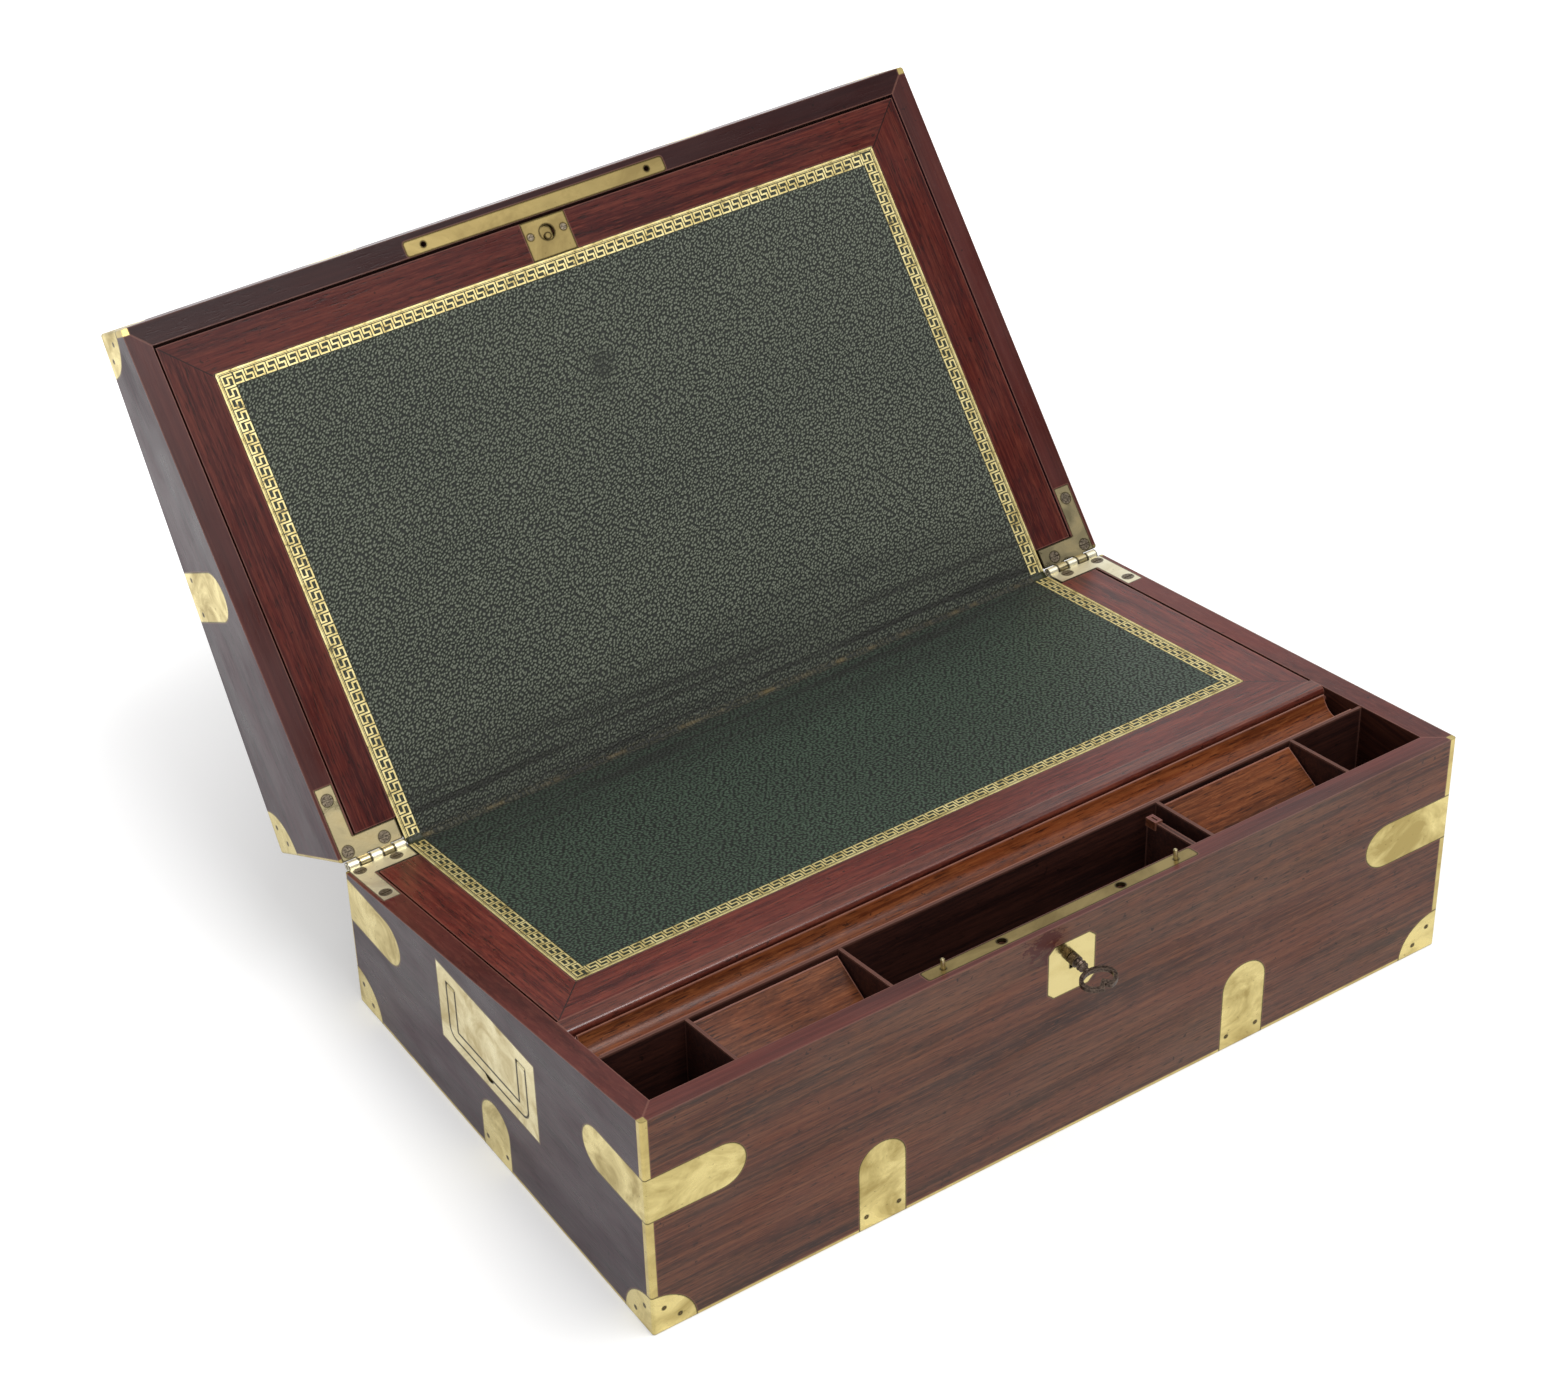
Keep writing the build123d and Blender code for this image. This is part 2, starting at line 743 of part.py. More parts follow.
with BuildPart() as locating_pins:
    with BuildSketch(base_rim.offset(-pin_root)):
        with Locations((lock_x, along_rim(lock_s))):
            with GridLocations(pin_spread, 0, 2, 1):
                Circle(pin_radius)
    extrude(amount=pin_root + pin_height)
    chamfer(locating_pins.faces().sort_by(Axis.Z)[-2:].edges(), pin_radius / 3)
locating_pins.part.label = "locating_pins"
export_step(locating_pins.part, "parts/locating_pins.step")

with BuildPart() as link_plate:
    with BuildSketch(lid_rim):
        with Locations((lock_x, along_rim(lock_s))):
            RectangleRounded(lock_plate_length, lock_plate_width, plate_corner)
            with GridLocations(pin_spread, 0, 2, 1):
                Circle(pin_radius + pin_clearance, mode=Mode.SUBTRACT)
    extrude(amount=lock_plate_thickness)
link_plate.part.label = "link_plate"
export_step(link_plate.part, "parts/link_plate.step")

# What the two front boards lose to the rim plates, the pins and the link sockets
with BuildPart() as lock_plate_seat:
    with BuildSketch(base_rim):
        with Locations((lock_x, along_rim(lock_s))):
            RectangleRounded(lock_plate_length, lock_plate_width, plate_corner)
    extrude(amount=-lock_plate_thickness)
    with BuildSketch(base_rim):
        with Locations((lock_x, along_rim(lock_s))):
            with GridLocations(link_socket_spread, 0, 2, 1):
                Circle(link_socket_radius)
    extrude(amount=-(lock_plate_thickness + link_socket_depth))
    add(locating_pins.part)

with BuildPart() as link_plate_seat:
    with BuildSketch(lid_rim):
        with Locations((lock_x, along_rim(lock_s))):
            RectangleRounded(lock_plate_length, lock_plate_width, plate_corner)
    extrude(amount=lock_plate_thickness)
    with BuildSketch(lid_rim):
        with Locations((lock_x, along_rim(lock_s))):
            with GridLocations(pin_spread, 0, 2, 1):
                Circle(pin_radius + pin_clearance)
    extrude(amount=pin_hole_depth)

# ---- Lock case, bolt and key ----
lock_case_front = -depth / 2 + lock_case_cover
lock_case_depth = board - lock_case_cover
lock_bolt_bottom = key_z + key_bit_length + lock_bolt_gap
lock_case_top = lock_bolt_bottom + lock_bolt_height + lock_bolt_gap + lock_case_wall
lock_case_middle = lock_case_top - lock_case_height / 2
lock_case_centre = (0, lock_case_front + lock_case_depth / 2, lock_case_middle)

with BuildPart() as lock_case_seat:
    with Locations(lock_case_centre):
        Box(lock_case_length, lock_case_depth, lock_case_height)

with BuildPart() as lock_case:
    add(lock_case_seat.part)
    with Locations(lock_case_centre):
        Box(
            lock_case_length - 2 * lock_case_wall,
            lock_case_depth - 2 * lock_case_wall,
            lock_case_height - 2 * lock_case_wall,
            mode=Mode.SUBTRACT,
        )
    add(keyhole.part, mode=Mode.SUBTRACT)
lock_case.part.label = "lock_case"
export_step(lock_case.part, "parts/lock_case.step")

with BuildPart() as lock_bolt:
    with Locations((0, lock_case_centre[1], lock_bolt_bottom + lock_bolt_height / 2)):
        Box(lock_bolt_length, lock_bolt_thickness, lock_bolt_height)
lock_bolt.part.label = "lock_bolt"
export_step(lock_bolt.part, "parts/lock_bolt.step")

# The turned stem is a list of stations along -Y from the face of the case: distance, radius
stem_stations = [(key_collar_gap, key_collar_radius), (key_collar_length, key_collar_radius)]
for distance, ring in key_stem_rings:
    stem_stations.append((key_collar_length + distance, key_shank_radius + ring))
shank_end = lock_case_front + lock_case_depth - lock_case_wall - lock_bolt_gap
with BuildPart() as key:
    with BuildSketch(Plane.YZ):
        with BuildLine():
            stem = [(-depth / 2 - distance, key_z + radius) for distance, radius in stem_stations]
            Polyline(
                (shank_end, key_z),
                (shank_end, key_z + key_shank_radius),
                (-depth / 2 - key_collar_gap, key_z + key_shank_radius),
                *stem,
                (stem[-1][0], key_z),
                close=True,
            )
        make_face()
    revolve(axis=Axis((0, 0, key_z), (0, 1, 0)))
    with BuildSketch(Plane.XY.offset(key_z - bow_thickness / 2)):
        with Locations((bow_offset, -depth / 2 - key_stem_length - bow_length / 2)):
            Ellipse(bow_width / 2, bow_length / 2)
            Ellipse(bow_width / 2 - bow_stock, bow_length / 2 - bow_stock, mode=Mode.SUBTRACT)
            Polygon(
                (-bow_cusp_width / 2, -bow_length / 2 + bow_cusp_low),
                (bow_cusp_width / 2, -bow_length / 2 + bow_cusp_low),
                (bow_stock / 2, -bow_length / 2 + bow_cusp_high),
                align=None,
            )
            Polygon(
                (-bow_dip_width / 2, -bow_length / 2 - bow_stock / 2),
                (bow_dip_width / 2, -bow_length / 2 - bow_stock / 2),
                (0, -bow_length / 2 + bow_dip_height),
                align=None,
                mode=Mode.SUBTRACT,
            )
    extrude(amount=bow_thickness)
    bit_middle_y = lock_case_front + lock_case_depth / 2
    bit_start = key_shank_radius - key_bit_root
    with Locations(((bit_start + key_bit_length) / 2, bit_middle_y, key_z)):
        Box(key_bit_length - bit_start, key_bit_width, key_bit_thickness)
key.part.label = "key"
export_step(key.part, "parts/key.step")

# ---- Boards of the base, mitred at the corners and cut on the slope of the rim ----
for name in face_width:
    with BuildPart() as base_board:
        with BuildSketch(Plane.XY):
            board_outline(name)
        extrude(amount=front_height)
        split(bisect_by=base_rim, keep=Keep.BOTTOM)
        add(base_block.part, mode=Mode.INTERSECT)
        for mount in (
            base_corner_caps,
            base_corner_straps,
            base_folded_straps,
            base_edge_beads,
            base_bottom_edging,
            base_nails,
        ):
            add(mount.part, mode=Mode.SUBTRACT)
        add(leaf_seats["base"], mode=Mode.SUBTRACT)
        if name in handle_blocks:
            add(handle_blocks[name], mode=Mode.SUBTRACT)
        if name == "front":
            add(escutcheon.part, mode=Mode.SUBTRACT)
            add(keyhole.part, mode=Mode.SUBTRACT)
            add(lock_case_seat.part, mode=Mode.SUBTRACT)
            add(lock_plate_seat.part, mode=Mode.SUBTRACT)
        if name == "back":
            with BuildSketch(base_rim):
                flap_rebate()
            extrude(amount=-flap_drop, mode=Mode.SUBTRACT)
    base_board.part.label = f"base_{name}_board"
    export_step(base_board.part, f"parts/base_{name}_board.step")

with BuildPart() as base_floor:
    with BuildSketch(Plane.XY):
        Rectangle(2 * inner_half_width, back_wall_inner - front_wall_inner)
    extrude(amount=floor_thickness)
    add(base_folded_straps.part, mode=Mode.SUBTRACT)
    add(base_corner_caps.part, mode=Mode.SUBTRACT)
base_floor.part.label = "base_floor"
export_step(base_floor.part, "parts/base_floor.step")

# ---- Front compartments ----
with BuildPart() as well_floor:
    with BuildSketch(Plane.XY.offset(well_floor_top)):
        with Locations((0, front_wall_inner)):
            Rectangle(
                2 * inner_half_width,
                rail_wall_front - front_wall_inner,
                align=(Align.CENTER, Align.MIN),
            )
    extrude(amount=-well_floor_thickness)
well_floor.part.label = "well_floor"
export_step(well_floor.part, "parts/well_floor.step")

with BuildPart() as front_divider:
    with BuildSketch(Plane.YZ.offset(-inner_half_width)):
        with BuildLine():
            Polyline(
                (divider_front, well_floor_top),
                (divider_back, well_floor_top),
                (divider_back, rim_z(divider_back, divider_drop)),
                (divider_front, rim_z(divider_front, divider_drop)),
                close=True,
            )
        make_face()
    extrude(amount=2 * inner_half_width)
front_divider.part.label = "front_divider"
export_step(front_divider.part, "parts/front_divider.step")

partition_places = (-outer_partition_x, -inner_partition_x, inner_partition_x, outer_partition_x)
for number, x in enumerate(partition_places, start=1):
    with BuildPart() as partition:
        with BuildSketch(Plane.YZ.offset(x - partition_thickness / 2)):
            with BuildLine():
                Polyline(
                    (front_wall_inner, well_floor_top),
                    (divider_front, well_floor_top),
                    (divider_front, rim_z(divider_front, partition_drop)),
                    (front_wall_inner, rim_z(front_wall_inner, partition_drop)),
                    close=True,
                )
            make_face()
        extrude(amount=partition_thickness)
    partition.part.label = f"partition_{number}"
    export_step(partition.part, f"parts/partition_{number}.step")

nib_board_run = well_depth - nib_board_gap
nib_board_rise = nib_board_run * tan(radians(nib_board_angle))
nib_board_drop = nib_board_thickness / cos(radians(nib_board_angle))
nib_board_length = outer_partition_x - inner_partition_x - partition_thickness - nib_board_gap
for name, start in (
    ("left", -outer_partition_x + partition_thickness / 2),
    ("right", inner_partition_x + partition_thickness / 2),
):
    with BuildPart() as nib_board:
        with BuildSketch(Plane.YZ.offset(start)):
            with BuildLine():
                Polyline(
                    (front_wall_inner, nib_board_low - nib_board_drop),
                    (front_wall_inner + nib_board_run, nib_board_low + nib_board_rise - nib_board_drop),
                    (front_wall_inner + nib_board_run, nib_board_low + nib_board_rise),
                    (front_wall_inner, nib_board_low),
                    close=True,
                )
            make_face()
        extrude(amount=nib_board_length)
    nib_board.part.label = f"nib_board_{name}"
    export_step(nib_board.part, f"parts/nib_board_{name}.step")

low_divider_end = front_wall_inner + low_divider_length
clip_top_drop = low_divider_drop - clip_wall
with BuildPart() as low_divider:
    with BuildSketch(Plane.YZ.offset(low_divider_x - low_divider_thickness / 2)):
        with BuildLine():
            Polyline(
                (front_wall_inner, well_floor_top),
                (low_divider_end, well_floor_top),
                (low_divider_end, rim_z(low_divider_end, low_divider_drop)),
                (front_wall_inner, rim_z(front_wall_inner, low_divider_drop)),
                close=True,
            )
        make_face()
    extrude(amount=low_divider_thickness)
low_divider.part.label = "low_divider"
export_step(low_divider.part, "parts/low_divider.step")

with BuildPart() as divider_clip:
    clip_start = low_divider_end - clip_length
    clip_half = low_divider_thickness / 2 + clip_wall
    with BuildSketch(Plane.YZ.offset(low_divider_x - clip_half)):
        with BuildLine():
            Polyline(
                (clip_start, rim_z(clip_start, clip_height)),
                (low_divider_end, rim_z(low_divider_end, clip_height)),
                (low_divider_end, rim_z(low_divider_end, clip_top_drop)),
                (clip_start, rim_z(clip_start, clip_top_drop)),
                close=True,
            )
        make_face()
    extrude(amount=2 * clip_half)
    with BuildSketch(base_rim):
        with Locations((low_divider_x, rim_y(low_divider_end - clip_length / 2))):
            Rectangle(clip_slot_width, clip_slot_length)
    extrude(amount=-low_divider_drop, mode=Mode.SUBTRACT)
    add(low_divider.part, mode=Mode.SUBTRACT)
divider_clip.part.label = "divider_clip"
export_step(divider_clip.part, "parts/divider_clip.step")

# ---- Pen tray on two bearers ----
tray_front = divider_back + tray_front_gap
tray_back = tray_front + tray_width
tray_bottom = rim_z(tray_back, tray_drop) - tray_height
tray_middle = (tray_front + tray_back) / 2
with BuildPart() as pen_tray:
    with BuildSketch(Plane.YZ.offset(-inner_half_width + tray_left_gap)):
        with BuildLine():
            Polyline(
                (tray_front, tray_bottom),
                (tray_back, tray_bottom),
                (tray_back, rim_z(tray_back, tray_drop)),
                (tray_front, rim_z(tray_front, tray_drop)),
                close=True,
            )
        make_face()
        with Locations((tray_middle, rim_z(tray_middle, tray_drop))):
            Circle(tray_cove_radius, mode=Mode.SUBTRACT)
    extrude(amount=2 * inner_half_width - tray_left_gap - tray_right_gap)
pen_tray.part.label = "pen_tray"
export_step(pen_tray.part, "parts/pen_tray.step")

with BuildPart() as tray_bearers:
    with BuildSketch(Plane.XY.offset(well_floor_top)):
        with Locations((0, (divider_back + rail_wall_front) / 2)):
            with GridLocations(2 * inner_half_width - tray_bearer_width, 0, 2, 1):
                Rectangle(tray_bearer_width, rail_wall_front - divider_back)
    extrude(amount=tray_bottom - flap_seat_gap - well_floor_top)
tray_bearers.part.label = "tray_bearers"
export_step(tray_bearers.part, "parts/tray_bearers.step")

# ---- Rail with a rounded nose over a bead, and a ledge for the lower flap behind it ----
ledge_back = seam_y + flap_ledge
rebate_y = seam_y - flap_drop * sin(radians(slope))
bead_middle = rim_z(rail_wall_front, rail_bead_top + rail_bead_radius)
nose_top = rim_z(rail_wall_front + rail_nose_radius)
nose_low = rim_z(rail_wall_front, rail_nose_radius)
arc_bulge = 1 - cos(radians(45))
with BuildPart() as flap_rail:
    with BuildSketch(Plane.YZ.offset(-inner_half_width)):
        with BuildLine():
            Polyline(
                (rail_wall_front, bead_middle - rail_bead_radius),
                (rail_wall_front, floor_thickness),
                (seam_y, floor_thickness),
                (seam_y, rim_z(seam_y, flap_drop + 2 * flap_ledge_thickness)),
                (ledge_back, rim_z(ledge_back, flap_drop + flap_ledge_thickness)),
                (ledge_back, rim_z(ledge_back, flap_drop / cos(radians(slope)))),
                (rebate_y, rim_z(rebate_y, flap_drop / cos(radians(slope)))),
                (seam_y, rim_z(seam_y)),
                (rail_wall_front + rail_nose_radius, nose_top),
            )
            ThreePointArc(
                (rail_wall_front + rail_nose_radius, nose_top),
                (rail_wall_front + arc_bulge * rail_nose_radius, nose_top - arc_bulge * rail_nose_radius),
                (rail_wall_front, nose_low),
            )
            Line((rail_wall_front, nose_low), (rail_wall_front, bead_middle + rail_bead_radius))
            ThreePointArc(
                (rail_wall_front, bead_middle + rail_bead_radius),
                (rail_front, bead_middle),
                (rail_wall_front, bead_middle - rail_bead_radius),
            )
        make_face()
    extrude(amount=2 * inner_half_width)
flap_rail.part.label = "flap_rail"
export_step(flap_rail.part, "parts/flap_rail.step")

with BuildPart() as base_flap_bearers:
    with BuildSketch(Plane.XY):
        with Locations((0, (ledge_back + back_wall_inner) / 2)):
            with GridLocations(2 * inner_half_width - bearer_width, 0, 2, 1):
                Rectangle(bearer_width, back_wall_inner - ledge_back)
    extrude(amount=front_height)
    split(bisect_by=base_rim.offset(-flap_drop), keep=Keep.BOTTOM)
    split(bisect_by=base_rim.offset(-flap_drop - bearer_height), keep=Keep.TOP)
base_flap_bearers.part.label = "base_flap_bearers"
export_step(base_flap_bearers.part, "parts/base_flap_bearers.step")

# ---- Writing flaps: framed panel with sunk leather that runs on to the hinge line ----
flap_half = inner_half_width - flap_side_gap
lower_flap_front = rim_y(seam_y) + flap_seam
upper_flap_front = rim_y(front_wall_inner) + upper_flap_top_gap
panel_back = back_edge - flap_back_gap


def flap_plan(front):
    """Outline of a flap: full width between the walls, a narrower tongue between the hinges."""
    Rectangle(
        2 * flap_half,
        notch_edge - front,
        align=(Align.CENTER, Align.MIN),
    )
    with Locations((0, notch_edge - front)):
        Rectangle(2 * tongue_half, panel_back - notch_edge, align=(Align.CENTER, Align.MIN))


lower_surface = base_rim.offset(-flap_set_down)
upper_surface = opened(rim_plane.offset(parting_gap / 2 + flap_set_down))

# ---- Catch of the upper flap ----
catch_hole_y = upper_flap_front + catch_hole_inset
bolt_top = lock_plate_thickness
bolt_back = upper_flap_front + catch_gap + catch_bolt_length
with BuildPart() as catch_plate:
    with BuildSketch(upper_surface):
        with Locations((lock_x, upper_flap_front)):
            Rectangle(catch_width, upper_top_member, align=(Align.CENTER, Align.MIN))
        with Locations((lock_x, catch_hole_y)):
            Circle(catch_hole_radius, mode=Mode.SUBTRACT)
            with GridLocations(catch_screw_spread, 0, 2, 1):
                Circle(catch_screw_radius, mode=Mode.SUBTRACT)
    extrude(amount=brass)
catch_plate.part.label = "catch_plate"
export_step(catch_plate.part, "parts/catch_plate.step")

with BuildPart() as catch_screws:
    with BuildSketch(upper_surface):
        with Locations((lock_x, catch_hole_y)):
            with GridLocations(catch_screw_spread, 0, 2, 1):
                Circle(catch_screw_radius)
    extrude(amount=brass)
    with BuildSketch(upper_surface):
        with Locations((lock_x, catch_hole_y)):
            with GridLocations(catch_screw_spread, 0, 2, 1):
                Circle(catch_screw_shank)
    extrude(amount=catch_screw_length)
    with BuildSketch(upper_surface):
        with Locations((lock_x, catch_hole_y)):
            with GridLocations(catch_screw_spread, 0, 2, 1):
                Rectangle(2 * catch_screw_radius, screw_slot_width / 2)
    extrude(amount=screw_slot_depth, mode=Mode.SUBTRACT)
catch_screws.part.label = "catch_screws"
export_step(catch_screws.part, "parts/catch_screws.step")

with BuildPart() as catch_bolt:
    with BuildSketch(upper_surface.offset(bolt_top)):
        with Locations((lock_x, bolt_back)):
            Rectangle(catch_bolt_width, catch_bolt_length, align=(Align.CENTER, Align.MAX))
    extrude(amount=catch_bolt_thickness)
    with BuildSketch(upper_surface.offset(bolt_top)):
        with Locations((lock_x, catch_hole_y + catch_button_back)):
            Circle(catch_button_radius)
    extrude(amount=-(bolt_top - catch_gap))
catch_bolt.part.label = "catch_bolt"
export_step(catch_bolt.part, "parts/catch_bolt.step")

with BuildPart() as catch_pocket:
    with BuildSketch(upper_surface):
        with Locations((lock_x, upper_flap_front)):
            Rectangle(catch_width, upper_top_member, align=(Align.CENTER, Align.MIN))
    extrude(amount=brass)
    with BuildSketch(upper_surface.offset(brass)):
        with Locations((lock_x, bolt_back + catch_gap)):
            Rectangle(
                catch_bolt_width + 2 * catch_gap,
                catch_bolt_length + 2 * catch_gap,
                align=(Align.CENTER, Align.MAX),
            )
    extrude(amount=bolt_top + catch_bolt_thickness + catch_gap - brass)
    add(catch_screws.part)

# The strike in the front board of the lid, which the bolt enters
with BuildPart() as catch_strike:
    with BuildSketch(upper_surface.offset(bolt_top - catch_gap)):
        with Locations((lock_x, rim_y(front_wall_inner))):
            Rectangle(catch_bolt_width + 2 * catch_gap, 2 * catch_throw)
    extrude(amount=catch_bolt_thickness + 2 * catch_gap)

# ---- Panels and leather of the two flaps ----
for name, surface, inward, front, member in (
    ("lower", lower_surface, -1, lower_flap_front, lower_front_member),
    ("upper", upper_surface, 1, upper_flap_front, upper_top_member),
):
    leather_front = front + member
    with BuildPart() as flap_leather:
        with BuildSketch(surface):
            with Locations((0, leather_front)):
                Rectangle(
                    2 * tongue_half,
                    -crease_gap - leather_front,
                    align=(Align.CENTER, Align.MIN),
                )
        extrude(amount=inward * leather)
    flap_leather.part.label = f"{name}_flap_leather"
    export_step(flap_leather.part, f"parts/{name}_flap_leather.step")

    with BuildPart() as flap_panel:
        with BuildSketch(surface):
            with Locations((0, front)):
                flap_plan(front)
        extrude(amount=inward * flap_thickness)
        add(flap_leather.part, mode=Mode.SUBTRACT)
        if name == "upper":
            add(catch_pocket.part, mode=Mode.SUBTRACT)
    flap_panel.part.label = f"{name}_flap_panel"
    export_step(flap_panel.part, f"parts/{name}_flap_panel.step")

# ---- Brass mounts of the lid ----
with BuildPart() as lid_nails:
    face_nails(lid_faces)
lid_nails.part.label = "lid_nails"
export_step(lid_nails.part, "parts/lid_nails.step")

with BuildPart() as lid_corner_caps:
    corner_caps(lid_faces)
    add(lid_block.part, mode=Mode.INTERSECT)
    add(lid_nails.part, mode=Mode.SUBTRACT)
lid_corner_caps.part.label = "lid_corner_caps"
export_step(lid_corner_caps.part, "parts/lid_corner_caps.step")

lid_strap_heights = {
    "front": lid_front_strap_height,
    "back": lid_side_strap_height,
    "left": lid_side_strap_height,
    "right": lid_side_strap_height,
}
with BuildPart() as lid_folded_straps:
    folded_straps(lid_faces, lid_strap_heights)
    add(lid_block.part, mode=Mode.INTERSECT)
    add(lid_nails.part, mode=Mode.SUBTRACT)
lid_folded_straps.part.label = "lid_folded_straps"
export_step(lid_folded_straps.part, "parts/lid_folded_straps.step")

with BuildPart() as lid_edge_beads:
    for side, bead in ((-1, front_bead), (1, back_bead)):
        with BuildSketch(lid_plan.offset(-cap_radius)) as beads:
            with Locations((0, side * (depth - bead) / 2)):
                with GridLocations(width - bead, 0, 2, 1):
                    Rectangle(bead, bead)
        extrude(beads.sketch, amount=-lid_top)
    split(bisect_by=lid_rim, keep=Keep.TOP)
    add(lid_block.part, mode=Mode.INTERSECT)
lid_edge_beads.part.label = "lid_edge_beads"
export_step(lid_edge_beads.part, "parts/lid_edge_beads.step")

with BuildPart() as name_plate:
    with BuildSketch(lid_plan) as name_plate_outline:
        Rectangle(name_plate_length, name_plate_width)
        chamfer(name_plate_outline.vertices(), name_plate_corner)
    extrude(amount=-brass)
name_plate.part.label = "name_plate"
export_step(name_plate.part, "parts/name_plate.step")

# ---- Boards of the lid ----
for name in face_width:
    with BuildPart() as lid_board:
        with BuildSketch(lid_plan):
            board_outline(name)
        extrude(amount=-lid_top)
        split(bisect_by=lid_rim, keep=Keep.TOP)
        add(lid_block.part, mode=Mode.INTERSECT)
        for mount in (lid_corner_caps, lid_folded_straps, lid_edge_beads, lid_nails):
            add(mount.part, mode=Mode.SUBTRACT)
        add(leaf_seats["lid"], mode=Mode.SUBTRACT)
        if name == "front":
            add(link_plate_seat.part, mode=Mode.SUBTRACT)
            add(catch_strike.part, mode=Mode.SUBTRACT)
        if name == "back":
            with BuildSketch(lid_rim):
                flap_rebate()
            extrude(amount=flap_drop, mode=Mode.SUBTRACT)
    lid_board.part.label = f"lid_{name}_board"
    export_step(lid_board.part, f"parts/lid_{name}_board.step")

with BuildPart() as lid_top_board:
    with BuildSketch(lid_plan):
        Rectangle(2 * inner_half_width, back_wall_inner - front_wall_inner)
    extrude(amount=-floor_thickness)
    for mount in (lid_corner_caps, lid_folded_straps, name_plate):
        add(mount.part, mode=Mode.SUBTRACT)
lid_top_board.part.label = "lid_top_board"
export_step(lid_top_board.part, "parts/lid_top_board.step")

with BuildPart() as lid_flap_bearers:
    with BuildSketch(lid_plan.offset(-floor_thickness)):
        Rectangle(2 * inner_half_width, back_wall_inner - front_wall_inner)
        with Locations((0, bearer_width)):
            Rectangle(
                2 * (inner_half_width - bearer_width),
                back_wall_inner - front_wall_inner,
                mode=Mode.SUBTRACT,
            )
    extrude(amount=-lid_top)
    split(bisect_by=opened(rim_plane.offset(parting_gap / 2 + flap_drop)), keep=Keep.TOP)
    split(bisect_by=opened(rim_plane.offset(parting_gap / 2 + flap_drop + bearer_height)), keep=Keep.BOTTOM)
lid_flap_bearers.part.label = "lid_flap_bearers"
export_step(lid_flap_bearers.part, "parts/lid_flap_bearers.step")
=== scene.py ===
# %% [markdown]
# # A brass-bound mahogany writing slope
# The box stands open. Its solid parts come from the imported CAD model, already in place and in
# metres. This lesson gives each of them the finish of the real thing, and makes the soft and fine
# parts that solids are poor at: the two leathers, the worn fold between them and the gilt border.

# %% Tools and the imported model
import math

import bmesh
import bpy
from mathutils import Matrix, Vector, noise


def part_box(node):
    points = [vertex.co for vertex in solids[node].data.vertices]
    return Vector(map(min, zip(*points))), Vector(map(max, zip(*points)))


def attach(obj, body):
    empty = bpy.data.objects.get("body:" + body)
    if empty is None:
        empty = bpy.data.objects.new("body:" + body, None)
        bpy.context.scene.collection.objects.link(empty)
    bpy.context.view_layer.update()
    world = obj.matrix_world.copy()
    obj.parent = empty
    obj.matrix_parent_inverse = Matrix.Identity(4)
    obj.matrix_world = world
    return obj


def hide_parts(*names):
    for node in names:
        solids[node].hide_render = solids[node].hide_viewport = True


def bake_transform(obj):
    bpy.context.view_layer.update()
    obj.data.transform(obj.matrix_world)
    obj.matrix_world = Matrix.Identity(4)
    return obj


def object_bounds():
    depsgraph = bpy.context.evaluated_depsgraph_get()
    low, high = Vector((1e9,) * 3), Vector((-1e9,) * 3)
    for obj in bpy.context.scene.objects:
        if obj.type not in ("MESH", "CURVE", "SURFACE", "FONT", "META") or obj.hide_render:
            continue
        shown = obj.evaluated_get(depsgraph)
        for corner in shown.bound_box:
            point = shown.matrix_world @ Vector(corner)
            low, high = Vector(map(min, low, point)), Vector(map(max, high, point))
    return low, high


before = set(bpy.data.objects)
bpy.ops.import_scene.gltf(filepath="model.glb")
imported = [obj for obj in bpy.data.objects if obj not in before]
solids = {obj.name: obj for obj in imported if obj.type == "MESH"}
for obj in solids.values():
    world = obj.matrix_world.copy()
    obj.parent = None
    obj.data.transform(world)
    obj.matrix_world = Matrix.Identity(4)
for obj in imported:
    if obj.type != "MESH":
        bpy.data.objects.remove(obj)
cad_low, cad_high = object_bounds()
MM = 0.001
print("CAD box in mm:", [round(v / MM, 1) for v in (*cad_low, *cad_high)])

# %% [markdown]
# Both halves of the slope meet at one hinge line. The base has its rims on a plane that falls
# towards the hinge, and the lid has the same plane turned through the opening angle. Flat work on
# either half is easiest in that half's own plane: x runs along the hinge, y points at the hinge
# from the writing surface and z comes out of the leather.

# %% The two working planes
SLOPE = math.radians(10.1195)
OPENING = math.radians(120.35)
pin_low, pin_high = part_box("hinge_pins")
hinge_point = Vector((0, (pin_low.y + pin_high.y) / 2, (pin_low.z + pin_high.z) / 2))
base_turn = -SLOPE
lid_turn = -SLOPE - OPENING
base_plane = Matrix.Translation(hinge_point) @ Matrix.Rotation(base_turn, 4, "X")
lid_plane = Matrix.Translation(hinge_point) @ Matrix.Rotation(lid_turn, 4, "X")
lid_plane = lid_plane @ Matrix.Rotation(math.pi, 4, "Y")
print("hinge line at", [round(v / MM, 2) for v in hinge_point])


def place_of(plane):
    """Mapping settings that carry object coordinates into a working plane."""
    back = plane.inverted()
    return tuple(back.to_euler()), tuple(back.translation)


# %% [markdown]
# Colours are picked as the hex values that a screen shows, and shaders need linear light, so one
# function converts them. Pattern sizes are wanted in millimetres, and a noise texture takes the
# number of features in a metre, so another function turns one into the other. Every node of every
# finish is then added by the same small function, with its settings, values and links.

